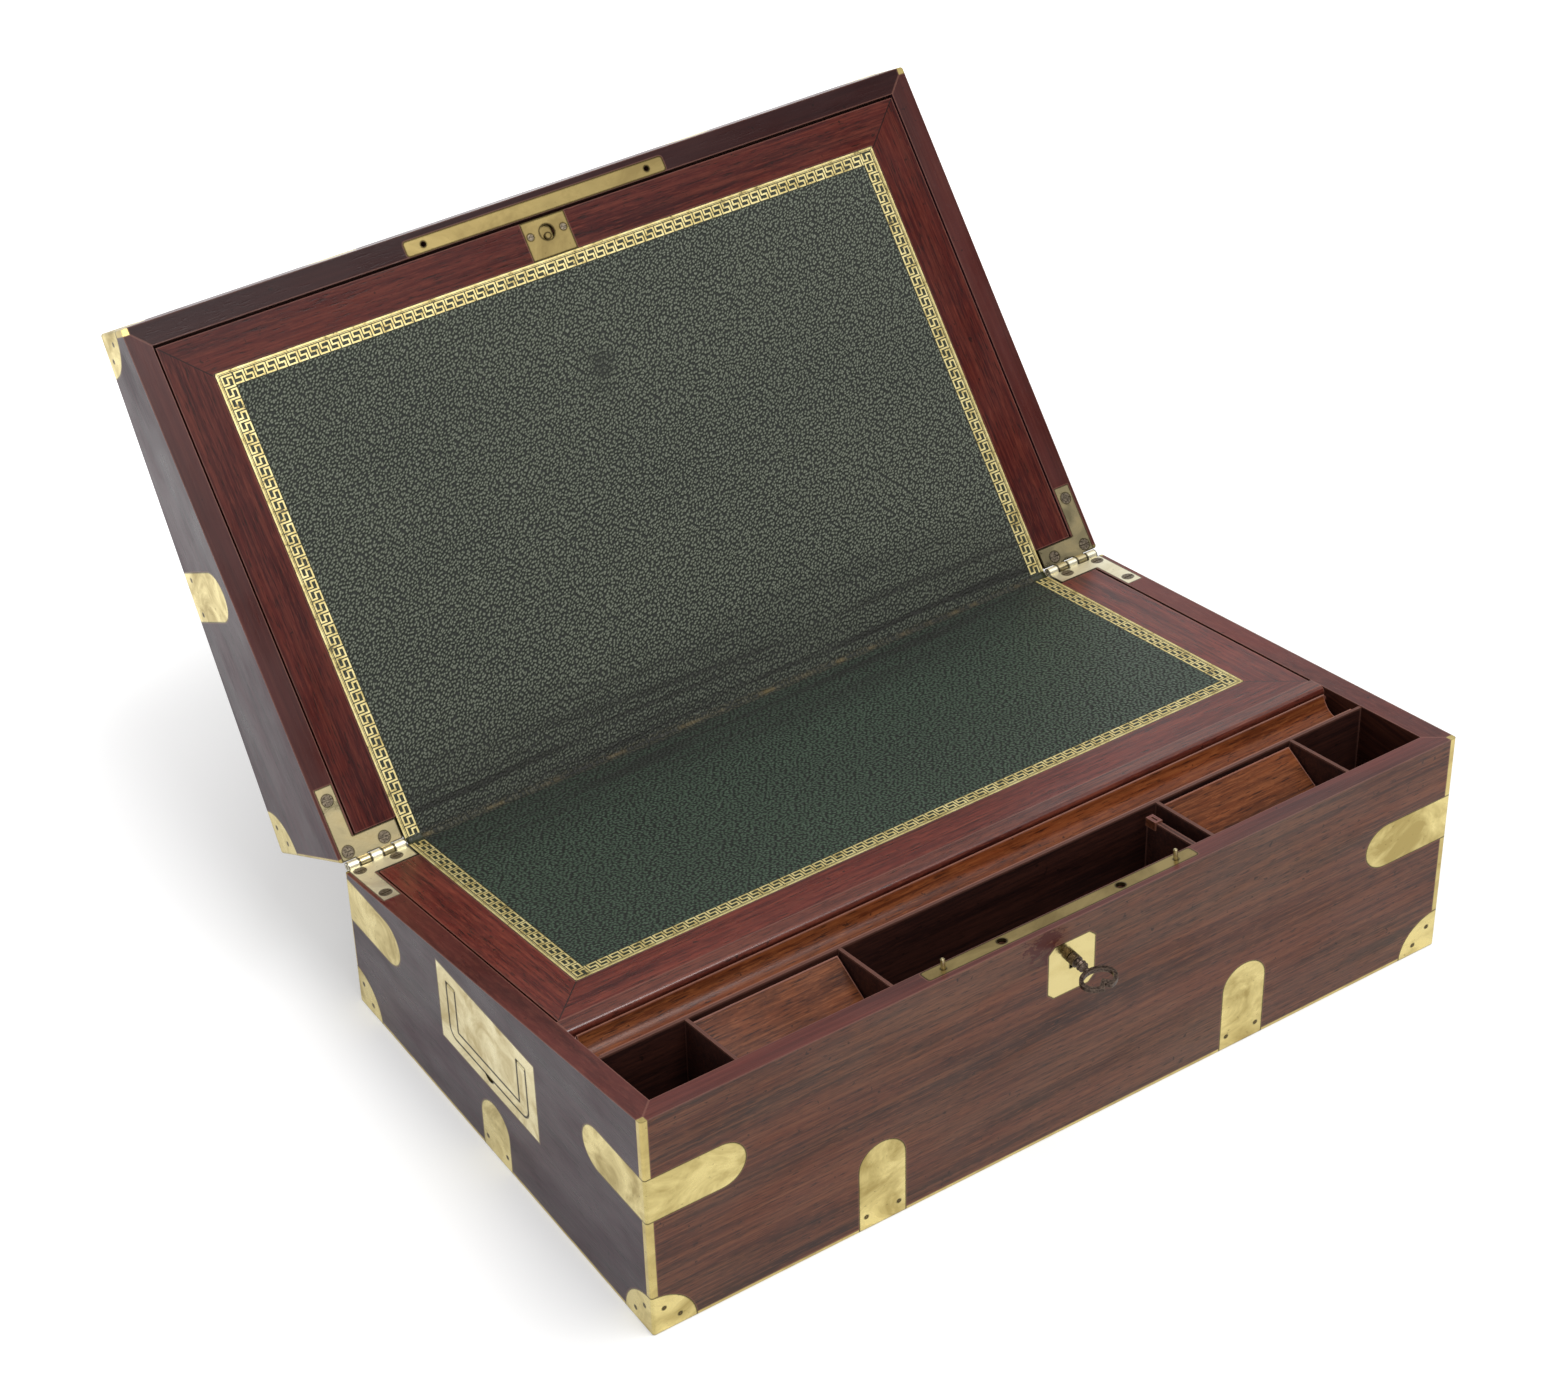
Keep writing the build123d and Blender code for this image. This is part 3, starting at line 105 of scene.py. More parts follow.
# %% Colour, pattern size and nodes
def linear(hex_colour):
    """Linear RGBA of an sRGB hex colour."""
    parts = [int(hex_colour[i : i + 2], 16) / 255 for i in (1, 3, 5)]
    return (*[c / 12.92 if c <= 0.04045 else ((c + 0.055) / 1.055) ** 2.4 for c in parts], 1.0)


def per(millimetres):
    """Texture scale that makes a feature about this many millimetres long."""
    return 1 / (millimetres * MM)


def add_node(tree, kind, inputs=(), **settings):
    """A new node with its settings, socket values and links; inputs pairs a socket with either."""
    made = tree.nodes.new(kind)
    for name, value in settings.items():
        setattr(made, name, value)
    for socket, value in dict(inputs).items():
        if isinstance(value, bpy.types.NodeSocket):
            tree.links.new(value, made.inputs[socket])
        else:
            made.inputs[socket].default_value = value
    return made


def new_finish(name):
    """An empty material with its output, ready for nodes."""
    finish = bpy.data.materials.new(name)
    finish.use_nodes = True
    finish.node_tree.nodes.clear()
    return finish, finish.node_tree, add_node(finish.node_tree, "ShaderNodeOutputMaterial")


# %% [markdown]
# Finishers build a colour up in layers, and so do these materials. A glaze lays a tint over the
# colour below wherever a pattern is strong enough. The pattern of wood, scratches and creases is a
# noise whose features have one size along the grain and another across it.

# %% Layers of colour and their patterns
def glaze(tree, colour, tint, value, low=0.0, high=1.0, strength=1.0):
    """The colour with a tint laid over it, more of it as value goes from low to high."""
    cover = add_node(tree, "ShaderNodeMapRange", {0: value, 1: low, 2: high, 4: strength})
    laid = add_node(
        tree, "ShaderNodeMix", {0: cover.outputs[0], 6: colour, 7: tint}, data_type="RGBA"
    )
    return laid.outputs[2]


def grain(tree, space, along, across, detail=3.0, roughness=0.55, distortion=0.0, seed=0.0):
    """Noise with features this long along x and this wide across it, in millimetres."""
    stretched = add_node(
        tree,
        "ShaderNodeMapping",
        {0: space, 1: (seed, seed, seed), 3: (per(along), per(across), per(across))},
    )
    made = add_node(
        tree,
        "ShaderNodeTexNoise",
        {"Vector": stretched.outputs[0], "Scale": 1.0, "Detail": detail, "Roughness": roughness,
         "Distortion": distortion},
    )
    return made.outputs[0]


# %% [markdown]
# Age shows in two more ways. An arris wears and gathers wax, so it gets a tint of its own; on the
# wood that light tint is also a painted highlight along the edge. Seen from inside the solid, an
# edge is where other faces come near: the ambient occlusion node measures that, as long as its
# reach is shorter than the piece is thick. And a worn patch or a stain is a round spot whose edge a
# noise has broken up.

# %% Worn edges and ragged spots
def edge_glaze(tree, colour, tint, reach, strength):
    """The colour with a tint along the arrises of the piece; reach is in millimetres."""
    around = add_node(
        tree,
        "ShaderNodeAmbientOcclusion",
        {"Distance": reach * MM},
        samples=8,
        inside=True,
        only_local=True,
    )
    return glaze(tree, colour, tint, around.outputs["AO"], 0.97, 0.78, strength)


def ragged_spot(tree, colour, tint, space, middle, break_up, spread, outer, inner, strength):
    """The colour with a spot of tint round a place; its sizes are in millimetres."""
    away = add_node(
        tree,
        "ShaderNodeVectorMath",
        {0: space, 1: [v * MM for v in middle]},
        operation="DISTANCE",
    )
    ragged = add_node(
        tree,
        "ShaderNodeMath",
        {0: break_up, 1: spread * MM, 2: away.outputs["Value"]},
        operation="MULTIPLY_ADD",
    )
    return glaze(tree, colour, tint, ragged.outputs[0], outer * MM, inner * MM, strength)


# %% [markdown]
# The frame of a writing flap is mitred: near its sides the grain runs the other way, and the joint
# is a hairline on the diagonal. Whichever edge of the flap is nearer, the side or the front, tells
# which member of the frame a point lies on, and where both are equally near is the mitre.

# %% Grain of a mitred frame
def from_edges(tree, x, y, half_width, front):
    """Distances in metres from the nearer side and from the front, which are placed in mm."""
    aside = add_node(tree, "ShaderNodeMath", {0: x}, operation="ABSOLUTE").outputs[0]
    from_side = add_node(
        tree, "ShaderNodeMath", {0: half_width * MM, 1: aside}, operation="SUBTRACT"
    ).outputs[0]
    from_front = add_node(
        tree, "ShaderNodeMath", {0: y, 1: front * MM}, operation="SUBTRACT"
    ).outputs[0]
    return from_side, from_front


def mitred_grain(tree, place, plane, half_width, front):
    """Coordinates that run along the nearer member, and how far a point is from the mitre."""
    rotation, location = place_of(plane)
    flat = add_node(tree, "ShaderNodeMapping", {0: place, 1: location, 2: rotation}).outputs[0]
    split = add_node(tree, "ShaderNodeSeparateXYZ", {0: flat})
    x, y, z = split.outputs
    turned = add_node(tree, "ShaderNodeCombineXYZ", {0: y, 1: x, 2: z}).outputs[0]
    from_side, from_front = from_edges(tree, x, y, half_width, front)
    on_side = add_node(
        tree, "ShaderNodeMath", {0: from_side, 1: from_front}, operation="LESS_THAN"
    ).outputs[0]
    space = add_node(
        tree, "ShaderNodeMix", {0: on_side, 4: flat, 5: turned}, data_type="VECTOR"
    ).outputs[1]
    gap = add_node(
        tree, "ShaderNodeMath", {0: from_side, 1: from_front}, operation="SUBTRACT"
    ).outputs[0]
    return space, add_node(tree, "ShaderNodeMath", {0: gap}, operation="ABSOLUTE").outputs[0]


# %% [markdown]
# Mahogany that has been French polished: many thin coats of shellac over a filled grain. The wood
# gives long red-brown streaks and fine dark pores, and the shellac gives a soft mirror on top,
# which is a coat over a rougher base. Boards are cut along the grain, so the grain of each one
# turns with it. A board of the case also has a rim, planed after the box was sawn in two, which is
# redder than its faces, and an inner face that was only waxed.

# %% French-polished mahogany
def planed_rim(tree, colour, rim, rim_painted_shade, figure, lines):
    """The colour with freshly planed wood on faces looking along rim, dimmed by painted shade."""
    outward = add_node(tree, "ShaderNodeTexCoord").outputs["Normal"]
    facing = add_node(
        tree, "ShaderNodeVectorMath", {0: outward, 1: rim}, operation="DOT_PRODUCT"
    ).outputs["Value"]
    planed = glaze(tree, linear("#3a1815"), linear("#5f2a25"), figure, 0.3, 0.7)
    planed = glaze(tree, planed, linear("#7f4639"), lines, 0.45, 0.75, 0.35)
    # Painted shade: the planed colour is darkened towards near black, strongly on the lid's rims
    planed = glaze(tree, planed, linear("#1d0b0d"), rim_painted_shade)
    return glaze(tree, colour, planed, facing, 0.9, 0.97)


def waxed_lining(tree, colour, lining, place, lines):
    """The colour with that of waxed wood between two inner faces, lining mm from the middle."""
    across = add_node(tree, "ShaderNodeSeparateXYZ", {0: place}).outputs[0]
    aside = add_node(tree, "ShaderNodeMath", {0: across}, operation="ABSOLUTE").outputs[0]
    inward = add_node(
        tree, "ShaderNodeMath", {0: aside, 1: lining * MM}, operation="LESS_THAN"
    ).outputs[0]
    waxed = glaze(tree, linear("#2b1511"), linear("#4a281d"), lines, 0.4, 0.7)
    return glaze(tree, colour, waxed, inward)


def polished_mahogany(
    name, dark, middle, bright, turn=(0, 0, 0), mitre=None, coat=0.1, rough=0.4, seed=0.0,
    streak=13.0, haze=0.0, gloss=0.3, rim=None, patch=None, blotch=0.0, edge=0.35,
    rim_painted_shade=0.0, lining=None, reach=0.8,
):
    finish, tree, output = new_finish(name)
    place = add_node(tree, "ShaderNodeTexCoord").outputs["Object"]
    if mitre is None:
        space = add_node(tree, "ShaderNodeMapping", {0: place, 2: turn}).outputs[0]
    else:
        space, off_mitre = mitred_grain(tree, place, **mitre)
    figure = grain(tree, space, 210, streak, 4, 0.6, 0.6, seed)
    lines = grain(tree, space, 75, 1.9, 4, 0.65, 0.2, seed + 5)
    pores = grain(tree, space, 9, 0.95, 2, 0.6, 0.0, seed + 9)
    cloud = grain(tree, space, 120, 60, 3, 0.5, 0.0, seed + 3)
    blots = grain(tree, place, 26, 20, 4, 0.65, 0.5, seed + 17)
    # Broad figure first, then fine streaks both ways, then a bloom that old shellac gets
    colour = glaze(tree, linear(dark), linear(middle), figure, 0.36, 0.64)
    colour = glaze(tree, colour, linear(bright), lines, 0.45, 0.72, 0.6)
    colour = glaze(tree, colour, linear(dark), lines, 0.45, 0.3, 0.65)
    colour = glaze(tree, colour, linear("#6e6352"), cloud, 0.45, 0.7, haze)
    # Pores drawn some three times too wide, because real ones are finer than a pixel
    open_pores = add_node(
        tree, "ShaderNodeMapRange", {0: pores, 1: 0.56, 2: 0.7, 4: 0.8}
    ).outputs[0]
    colour = glaze(tree, colour, linear("#1a0d0b"), open_pores)
    colour = glaze(tree, colour, linear(bright), pores, 0.44, 0.3, 0.45)
    if patch is not None:
        size = patch["size"]
        chips = grain(tree, place, 7, 3.5, 4, 0.65, 0.8, seed + 21)
        colour = ragged_spot(
            tree, colour, linear("#451209"), place, patch["middle"], chips,
            spread=3 * size, outer=2.15 * size, inner=2 * size, strength=0.95,
        )
    colour = glaze(tree, colour, linear(dark), blots, 0.5, 0.68, blotch)
    if lining is not None:
        colour = waxed_lining(tree, colour, lining, place, lines)
    if rim is not None:
        colour = planed_rim(tree, colour, rim, rim_painted_shade, figure, lines)
    if mitre is not None:
        colour = glaze(tree, colour, linear("#1c0d0c"), off_mitre, 0.7 * MM, 0.2 * MM)
    # Knocks and pits: small dark marks, sparse
    marks = add_node(
        tree, "ShaderNodeTexNoise", {"Vector": place, "Scale": per(4.5), "Detail": 2.0}
    ).outputs[0]
    colour = glaze(tree, colour, linear("#150a09"), marks, 0.71, 0.75, 0.7)
    # Painted highlight along the arrises, partly wax and wear: a light tint on every edge
    colour = edge_glaze(tree, colour, linear("#8a5f52"), reach, edge)
    # Relief: raised streaks and sunken pores under the polish
    raised = add_node(tree, "ShaderNodeMath", {0: lines, 1: 0.5}, operation="MULTIPLY").outputs[0]
    height = add_node(
        tree, "ShaderNodeMath", {0: raised, 1: open_pores}, operation="SUBTRACT"
    ).outputs[0]
    relief = add_node(
        tree, "ShaderNodeBump", {"Strength": 0.35, "Distance": 0.12 * MM, "Height": height}
    )
    handling = grain(tree, space, 60, 25, 3, 0.6, 0.0, seed + 12)
    roughness = add_node(
        tree, "ShaderNodeMapRange", {0: handling, 1: 0.3, 2: 0.7, 3: rough - 0.1, 4: rough + 0.12}
    )
    shader = add_node(
        tree,
        "ShaderNodeBsdfPrincipled",
        {
            "Base Color": colour,
            "Roughness": roughness.outputs[0],
            "IOR": 1.5,
            "Specular IOR Level": gloss,
            "Coat Weight": coat,
            "Coat Roughness": 0.16,
            "Coat IOR": 1.52,
            "Normal": relief.outputs[0],
        },
    )
    tree.links.new(shader.outputs[0], output.inputs[0])
    return finish


# %% [markdown]
# Cast and rolled brass, inlaid flush with the wood and rubbed for a century and a half. It is a
# metal, so its colour tints every reflection. Rubbing leaves fine scratches along one way, hands
# leave clouds of tarnish, and wax and dirt stay in the outline, where a dark hairline shows.

# %% Old inlaid brass
def old_brass(
    name, tone, tarnish, clouds=22.0, cloudiness=0.6, rough=0.3, spots=0.5, grime=0.85, seed=0.0,
    outline=1.0,
):
    finish, tree, output = new_finish(name)
    place = add_node(tree, "ShaderNodeTexCoord").outputs["Object"]
    cloud = grain(tree, place, clouds, clouds * 0.7, 5, 0.62, 0.8, seed)
    scratches = grain(tree, place, 14, 0.35, 2, 0.5, 0.0, seed + 2)
    speckle = grain(tree, place, 2.6, 2.2, 3, 0.6, 0.0, seed + 7)
    colour = glaze(tree, linear(tone), linear(tarnish), cloud, 0.42, 0.66, cloudiness)
    spotted = add_node(
        tree, "ShaderNodeMapRange", {0: speckle, 1: 0.66, 2: 0.76, 4: spots}
    ).outputs[0]
    colour = glaze(tree, colour, linear("#4d3f22"), spotted)
    colour = edge_glaze(tree, colour, linear("#2b2213"), outline, grime)
    dull = add_node(
        tree, "ShaderNodeMapRange", {0: cloud, 1: 0.35, 2: 0.7, 3: rough - 0.08, 4: rough + 0.14}
    ).outputs[0]
    roughness = add_node(
        tree, "ShaderNodeMath", {0: spotted, 1: 0.2, 2: dull}, operation="MULTIPLY_ADD"
    )
    height = add_node(
        tree, "ShaderNodeMath", {0: scratches, 1: 0.6, 2: cloud}, operation="MULTIPLY_ADD"
    ).outputs[0]
    relief = add_node(
        tree, "ShaderNodeBump", {"Strength": 0.22, "Distance": 0.06 * MM, "Height": height}
    )
    shader = add_node(
        tree,
        "ShaderNodeBsdfPrincipled",
        {
            "Base Color": colour,
            "Metallic": 1.0,
            "Roughness": roughness.outputs[0],
            "Normal": relief.outputs[0],
        },
    )
    tree.links.new(shader.outputs[0], output.inputs[0])
    return finish


# %% [markdown]
# Screws and the key are iron that has gone brown-black with handling, still metal where it rubs.
# Its skin of rust and oil is a fine noise under a millimetre, and its edges are rubbed brighter.

# %% Handled iron
def handled_iron(name, tone, rubbed):
    finish, tree, output = new_finish(name)
    place = add_node(tree, "ShaderNodeTexCoord").outputs["Object"]
    skin = grain(tree, place, 0.9, 0.9, 3, 0.6)
    colour = glaze(tree, linear(tone), linear(rubbed), skin, 0.4, 0.65)
    colour = edge_glaze(tree, colour, linear(rubbed), 0.4, 0.6)
    roughness = add_node(tree, "ShaderNodeMapRange", {0: skin, 1: 0.3, 2: 0.7, 3: 0.3, 4: 0.55})
    relief = add_node(
        tree, "ShaderNodeBump", {"Strength": 0.3, "Distance": 0.05 * MM, "Height": skin}
    )
    shader = add_node(
        tree,
        "ShaderNodeBsdfPrincipled",
        {
            "Base Color": colour,
            "Metallic": 0.9,
            "Roughness": roughness.outputs[0],
            "Normal": relief.outputs[0],
        },
    )
    tree.links.new(shader.outputs[0], output.inputs[0])
    return finish


# %% [markdown]
# Now the boards are dressed. The outside of the case is painted darker and cooler at the ends than
# on the front, a painted shade with a painted purple reflection in it; the rims and the flap frames
# are redder, and the lid's rims and the upper flap are painted darker still, as painted shade. The
# fitted inside is painted nearly black, its darker waxed wood with a painted shade over it. The
# front keeps a worn red patch beside the lock, where a key ring has knocked the polish off. The
# thin partitions are light along their whole top edge, partly wear and partly a painted highlight,
# so their edge glaze reaches deep.

# %% Finishes of the wood
ALONG_Y = (0, 0, math.radians(-90))
LID_ALONG_Y = (-lid_turn, 0, math.radians(-90))
END_BOARD_INNER = 241.5
FLAP_HALF = 239.5
base_out = tuple(base_plane.to_3x3() @ Vector((0, 0, 1)))
lid_out = tuple(lid_plane.to_3x3() @ Vector((0, 0, 1)))
lock_wear = {"middle": (-18, -151, 136), "size": 16.0}
lower_frame = {"plane": base_plane, "half_width": FLAP_HALF, "front": -207.5}
upper_frame = {"plane": lid_plane, "half_width": FLAP_HALF, "front": -294.7}
wood = {
    "front": polished_mahogany(
        "french_polished_front", "#35190f", "#613321", "#865437", haze=0.2, rim=base_out,
        patch=lock_wear, gloss=0.22,
    ),
    # Painted shade and a painted purple reflection: the ends darker and cooler than the front
    "end": polished_mahogany(
        "french_polished_end", "#2a1420", "#3a1f2b", "#482934", ALONG_Y, coat=0.05, rough=0.32,
        seed=20, streak=26.0, rim=base_out, gloss=0.2, lining=END_BOARD_INNER,
    ),
    # Painted shade on the lid's rims: they are darkened strongly
    "lid_long": polished_mahogany(
        "french_polished_lid", "#31131a", "#4a2027", "#642d32", seed=31, rough=0.34, rim=lid_out,
        rim_painted_shade=0.85, coat=0.05, gloss=0.16,
    ),
    # Painted shade and a painted purple reflection on the lid's ends, and painted shade on their
    # rims
    "lid_end": polished_mahogany(
        "french_polished_lid_end", "#2b1320", "#41222d", "#523037", LID_ALONG_Y, coat=0.06,
        rough=0.35, seed=43, streak=24.0, rim=lid_out, rim_painted_shade=0.45, gloss=0.24,
    ),
    # Painted shade: the fitted inside is painted nearly black over its darker waxed wood
    "inside": polished_mahogany(
        "waxed_mahogany_inside", "#1f0f0e", "#351c17", "#4b291f", coat=0.05, rough=0.55, seed=52,
        gloss=0.15, edge=0.35, reach=1.6,
    ),
    "rail": polished_mahogany(
        "polished_rail", "#3a1512", "#5c2a20", "#7d4431", coat=0.35, rough=0.28, seed=61,
        streak=9.0, gloss=0.25,
    ),
    "tray": polished_mahogany(
        "pen_tray_mahogany", "#45200f", "#6d361b", "#8c532e", coat=0.1, rough=0.34, seed=66,
        streak=8.0, gloss=0.14, blotch=0.4, edge=0.6,
    ),
    "nib": polished_mahogany(
        "nib_board_mahogany", "#34180c", "#683519", "#8c5330", rough=0.42, seed=71, streak=15.0,
        blotch=0.4, gloss=0.08, coat=0.05, edge=0.7,
    ),
    "lower_flap": polished_mahogany(
        "lower_flap_mahogany", "#3d1211", "#61221b", "#813e2e", coat=0.12, rough=0.3, seed=83,
        mitre=lower_frame, streak=11.0, blotch=0.25,
    ),
    # Painted shade: the upper flap's frame is darker than the lower one's, though the wood is the
    # same
    "upper_flap": polished_mahogany(
        "upper_flap_mahogany", "#330f0f", "#4d1c17", "#693326", coat=0.04, rough=0.36, seed=94,
        mitre=upper_frame, streak=11.0, gloss=0.14, blotch=0.3,
    ),
}
print(len(wood), "wood finishes")

# %% [markdown]
# Each brass piece has its own finish: the inlay is clouded, the hinge leaves on the base are
# painted pale, a painted highlight of the light they catch, and those on the lid are brown, the
# lock and its link are painted darker and olive, a painted reflection of dark surroundings over
# their tarnish, and the escutcheon is polished by every turn of the key. The outline reaches less
# deep on thin pieces.

# %% Finishes of the metal
brass = {
    "inlay": old_brass(
        "old_brass_inlay", "#dccb8a", "#8a7437", clouds=34, cloudiness=0.7, seed=1,
    ),
    "bead": old_brass(
        "old_brass_bead", "#c9b677", "#a6925a", seed=4, grime=0.3, outline=0.5,
    ),
    "nail": old_brass(
        "darkened_brass_pin", "#6e5d39", "#43361f", seed=6, rough=0.45, outline=0.5,
    ),
    "handle": old_brass(
        "rubbed_brass_handle", "#e2d6a8", "#a8935c", clouds=34, cloudiness=0.75, spots=0.25,
        seed=11,
    ),
    # Painted highlight: the base leaves are painted pale for the light that they catch
    "base_hinge": old_brass(
        "hinge_brass_painted_highlight", "#eee8cf", "#c2b896", clouds=30, cloudiness=0.45, rough=0.42,
        seed=15, outline=0.9,
    ),
    "lid_hinge": old_brass(
        "brown_hinge_brass", "#c9bb92", "#8f7d57", clouds=22, rough=0.33, seed=17, outline=0.9,
    ),
    # Painted reflection of dark surroundings over tarnish: the lock and its link are darker olive
    "lock": old_brass(
        "olive_lock_brass", "#948355", "#665736", clouds=40, rough=0.36, seed=22, outline=1.2,
    ),
    "escutcheon": old_brass(
        "polished_brass_escutcheon", "#d8c88c", "#bfac6b", clouds=26, cloudiness=0.35,
        rough=0.16, spots=0.15, seed=27,
    ),
}
steel = handled_iron("browned_steel_screw", "#4c4238", "#8b7f6c")
iron = handled_iron("dark_iron_key", "#352b26", "#6a5b50")
print(len(brass), "brass finishes and", [steel.name, iron.name])

# %% [markdown]
# A finish goes to every solid that was made from the same stuff in the same way. Whatever is left
# undressed is redrawn further on.

# %% Dressing the solids
dressed = {
    wood["front"]: ["base_front_board", "base_back_board", "base_floor", "divider_clip"],
    wood["end"]: ["base_left_board", "base_right_board"],
    wood["lid_long"]: ["lid_front_board", "lid_back_board", "lid_top_board"],
    wood["lid_end"]: ["lid_left_board", "lid_right_board"],
    wood["inside"]: [
        "well_floor", "front_divider", "low_divider", "tray_bearers", "base_flap_bearers",
        "lid_flap_bearers", "partition_1", "partition_2", "partition_3", "partition_4",
    ],
    wood["rail"]: ["flap_rail"],
    wood["tray"]: ["pen_tray"],
    wood["nib"]: ["nib_board_left", "nib_board_right"],
    wood["lower_flap"]: ["lower_flap_panel"],
    wood["upper_flap"]: ["upper_flap_panel"],
    brass["inlay"]: [
        "base_corner_caps", "base_corner_straps", "base_folded_straps", "lid_corner_caps",
        "lid_folded_straps", "name_plate",
    ],
    brass["bead"]: ["base_edge_beads", "base_bottom_edging", "lid_edge_beads"],
    brass["nail"]: ["base_nails", "lid_nails"],
    brass["handle"]: [
        "handle_plate_left", "handle_plate_right", "handle_bail_left", "handle_bail_right",
    ],
    brass["base_hinge"]: ["hinge_base_leaves"],
    brass["lid_hinge"]: ["hinge_lid_leaves", "hinge_pins", "locating_pins"],
    brass["lock"]: [
        "lock_plate", "link_plate", "catch_plate", "catch_bolt", "lock_bolt", "lock_case",
    ],
    brass["escutcheon"]: ["escutcheon"],
    steel: ["hinge_base_screws", "hinge_lid_screws", "catch_screws", "handle_pins"],
    iron: ["key"],
}
for finish, names in dressed.items():
    for name in names:
        for material_slot in solids[name].material_slots:
            material_slot.material = finish
covered = {name for names in dressed.values() for name in names}
print(len(covered), "solids dressed; left for new pieces:", sorted(set(solids) - covered))

# %% [markdown]
# The writing surface is a green goatskin, pasted down on each flap and pressed with a pebble grain.
# Paste and damp lift it a little, most of all near the fold, so it is a fine grid with gentle
# ripples, thickened, with its cut edges eased. A map of its flat shape in metres goes with the
# mesh, so that the grain, the border and the stains follow the skin and not the room.

# %% Sizes of the leathers
LEATHER_HALF = 214.8
LEATHER_THICK = 1.0
LEATHER_TOP = -0.6
BACK_EDGE = -0.4
GRID_STEP = 2.6
skins = {
    "lower": {"front": -182.5, "plane": base_plane, "body": "lower_flap", "seed": 3.0},
    "upper": {"front": -271.7, "plane": lid_plane, "body": "upper_flap", "seed": 11.0},
}
for name, facts in skins.items():
    print(name, "leather", 2 * LEATHER_HALF, "by", round(BACK_EDGE - facts["front"], 1), "mm")


def as_piece(name, work):
    """An object at the origin, named and in the scene, from a bmesh that is then freed."""
    mesh = bpy.data.meshes.new(name)
    work.to_mesh(mesh)
    work.free()
    piece = bpy.data.objects.new(name, mesh)
    bpy.context.scene.collection.objects.link(piece)
    return piece


# %% [markdown]
# Paste holds the skin flat under its border, where the hot wheel went over it. Further in it
# swells a tenth of a millimetre or so, and near the fold it is crimped along the hinge line.

# %% Cutting a leather
STILL_BORDER = 11
CALM_WIDTH = 14
FOLD_WIDTH = 26
SWELL_HEIGHT = 0.09
CRIMP_HEIGHT = 0.2
SHARP_ANGLE = 1.2
EASED_EDGE = 0.35


def ripple(x, y, front, seed):
    """Height of the pasted skin above flat, in mm: still at the border, lively at the fold."""
    edge = min(LEATHER_HALF - abs(x), y - front)
    calm = min(max((edge - STILL_BORDER) / CALM_WIDTH, 0), 1)
    fold = math.exp(-((y - BACK_EDGE) / FOLD_WIDTH) ** 2)
    swell = noise.noise(Vector((x / 55, y / 34, seed)))
    crimp = noise.noise(Vector((x / 70, y / 7.5, seed + 4)))
    return calm * (SWELL_HEIGHT * swell + CRIMP_HEIGHT * fold * crimp)


def cut_leather(name, front, plane, body, seed):
    length = BACK_EDGE - front
    skin = bmesh.new()
    bmesh.ops.create_grid(
        skin,
        x_segments=round(2 * LEATHER_HALF / GRID_STEP),
        y_segments=round(length / GRID_STEP),
        size=0.5,
    )
    bmesh.ops.scale(skin, vec=(2 * LEATHER_HALF, length, 1), verts=skin.verts)
    bmesh.ops.translate(skin, vec=(0, front + length / 2, 0), verts=skin.verts)
    flat_map = skin.loops.layers.uv.new("skin")
    for face in skin.faces:
        for loop in face.loops:
            loop[flat_map].uv = (loop.vert.co.x * MM, loop.vert.co.y * MM)
    for vert in skin.verts:
        vert.co.z = LEATHER_TOP + ripple(vert.co.x, vert.co.y, front, seed)
    bmesh.ops.solidify(skin, geom=skin.faces[:], thickness=LEATHER_THICK)
    skin.normal_update()
    rim = [
        e for e in skin.edges
        if len(e.link_faces) == 2 and e.calc_face_angle() > SHARP_ANGLE
        and min(v.co.z for v in e.verts) > LEATHER_TOP - LEATHER_THICK / 2
    ]
    bmesh.ops.bevel(
        skin, geom=rim, offset=EASED_EDGE, segments=2, profile=0.5, affect="EDGES", material=-1
    )
    bmesh.ops.scale(skin, vec=(MM, MM, MM), verts=skin.verts)
    bmesh.ops.transform(skin, matrix=plane, verts=skin.verts)
    piece = as_piece(f"{name}_writing_leather", skin)
    piece.data.shade_smooth()
    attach(piece, body)
    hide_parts(f"{name}_flap_leather")
    print(piece.name, len(piece.data.polygons), "faces")
    return piece


leathers = {name: cut_leather(name, **facts) for name, facts in skins.items()}

# %% [markdown]
# The skin is goat, dyed bottle green with the dye in the grain, and gone grey-olive where light
# and hands reached it. The pebble was pressed in with a roller. It is drawn with soft cells some
# one and a half by two millimetres wide, whose borders sink, a little larger than the real ones so
# that it shows.

# %% Pebbles of a goatskin
BORDER = 9.7


def pebbles(tree, flat, lay):
    """1 on the crown of a pebble and 0 in the furrow round it; lay turns the pattern."""
    bend = add_node(
        tree, "ShaderNodeTexNoise", {"Vector": flat, "Scale": per(12), "Detail": 1.0}
    )
    bent = add_node(
        tree,
        "ShaderNodeMix",
        {0: 1.2 * MM, 6: flat, 7: bend.outputs["Color"]},
        data_type="RGBA",
        blend_type="LINEAR_LIGHT",
    ).outputs[2]
    turned = add_node(tree, "ShaderNodeMapping", {0: bent, 2: (0, 0, lay)}).outputs[0]
    stretched = add_node(tree, "ShaderNodeMapping", {0: turned, 3: (per(2.1), per(1.4), 1.0)})
    cells = add_node(
        tree,
        "ShaderNodeTexVoronoi",
        {"Vector": stretched.outputs[0], "Scale": 1.0, "Randomness": 0.8, "Smoothness": 0.15},
        voronoi_dimensions="2D",
        feature="SMOOTH_F1",
    ).outputs["Distance"]
    return add_node(tree, "ShaderNodeMapRange", {0: cells, 1: 0.58, 2: 0.2}).outputs[0]
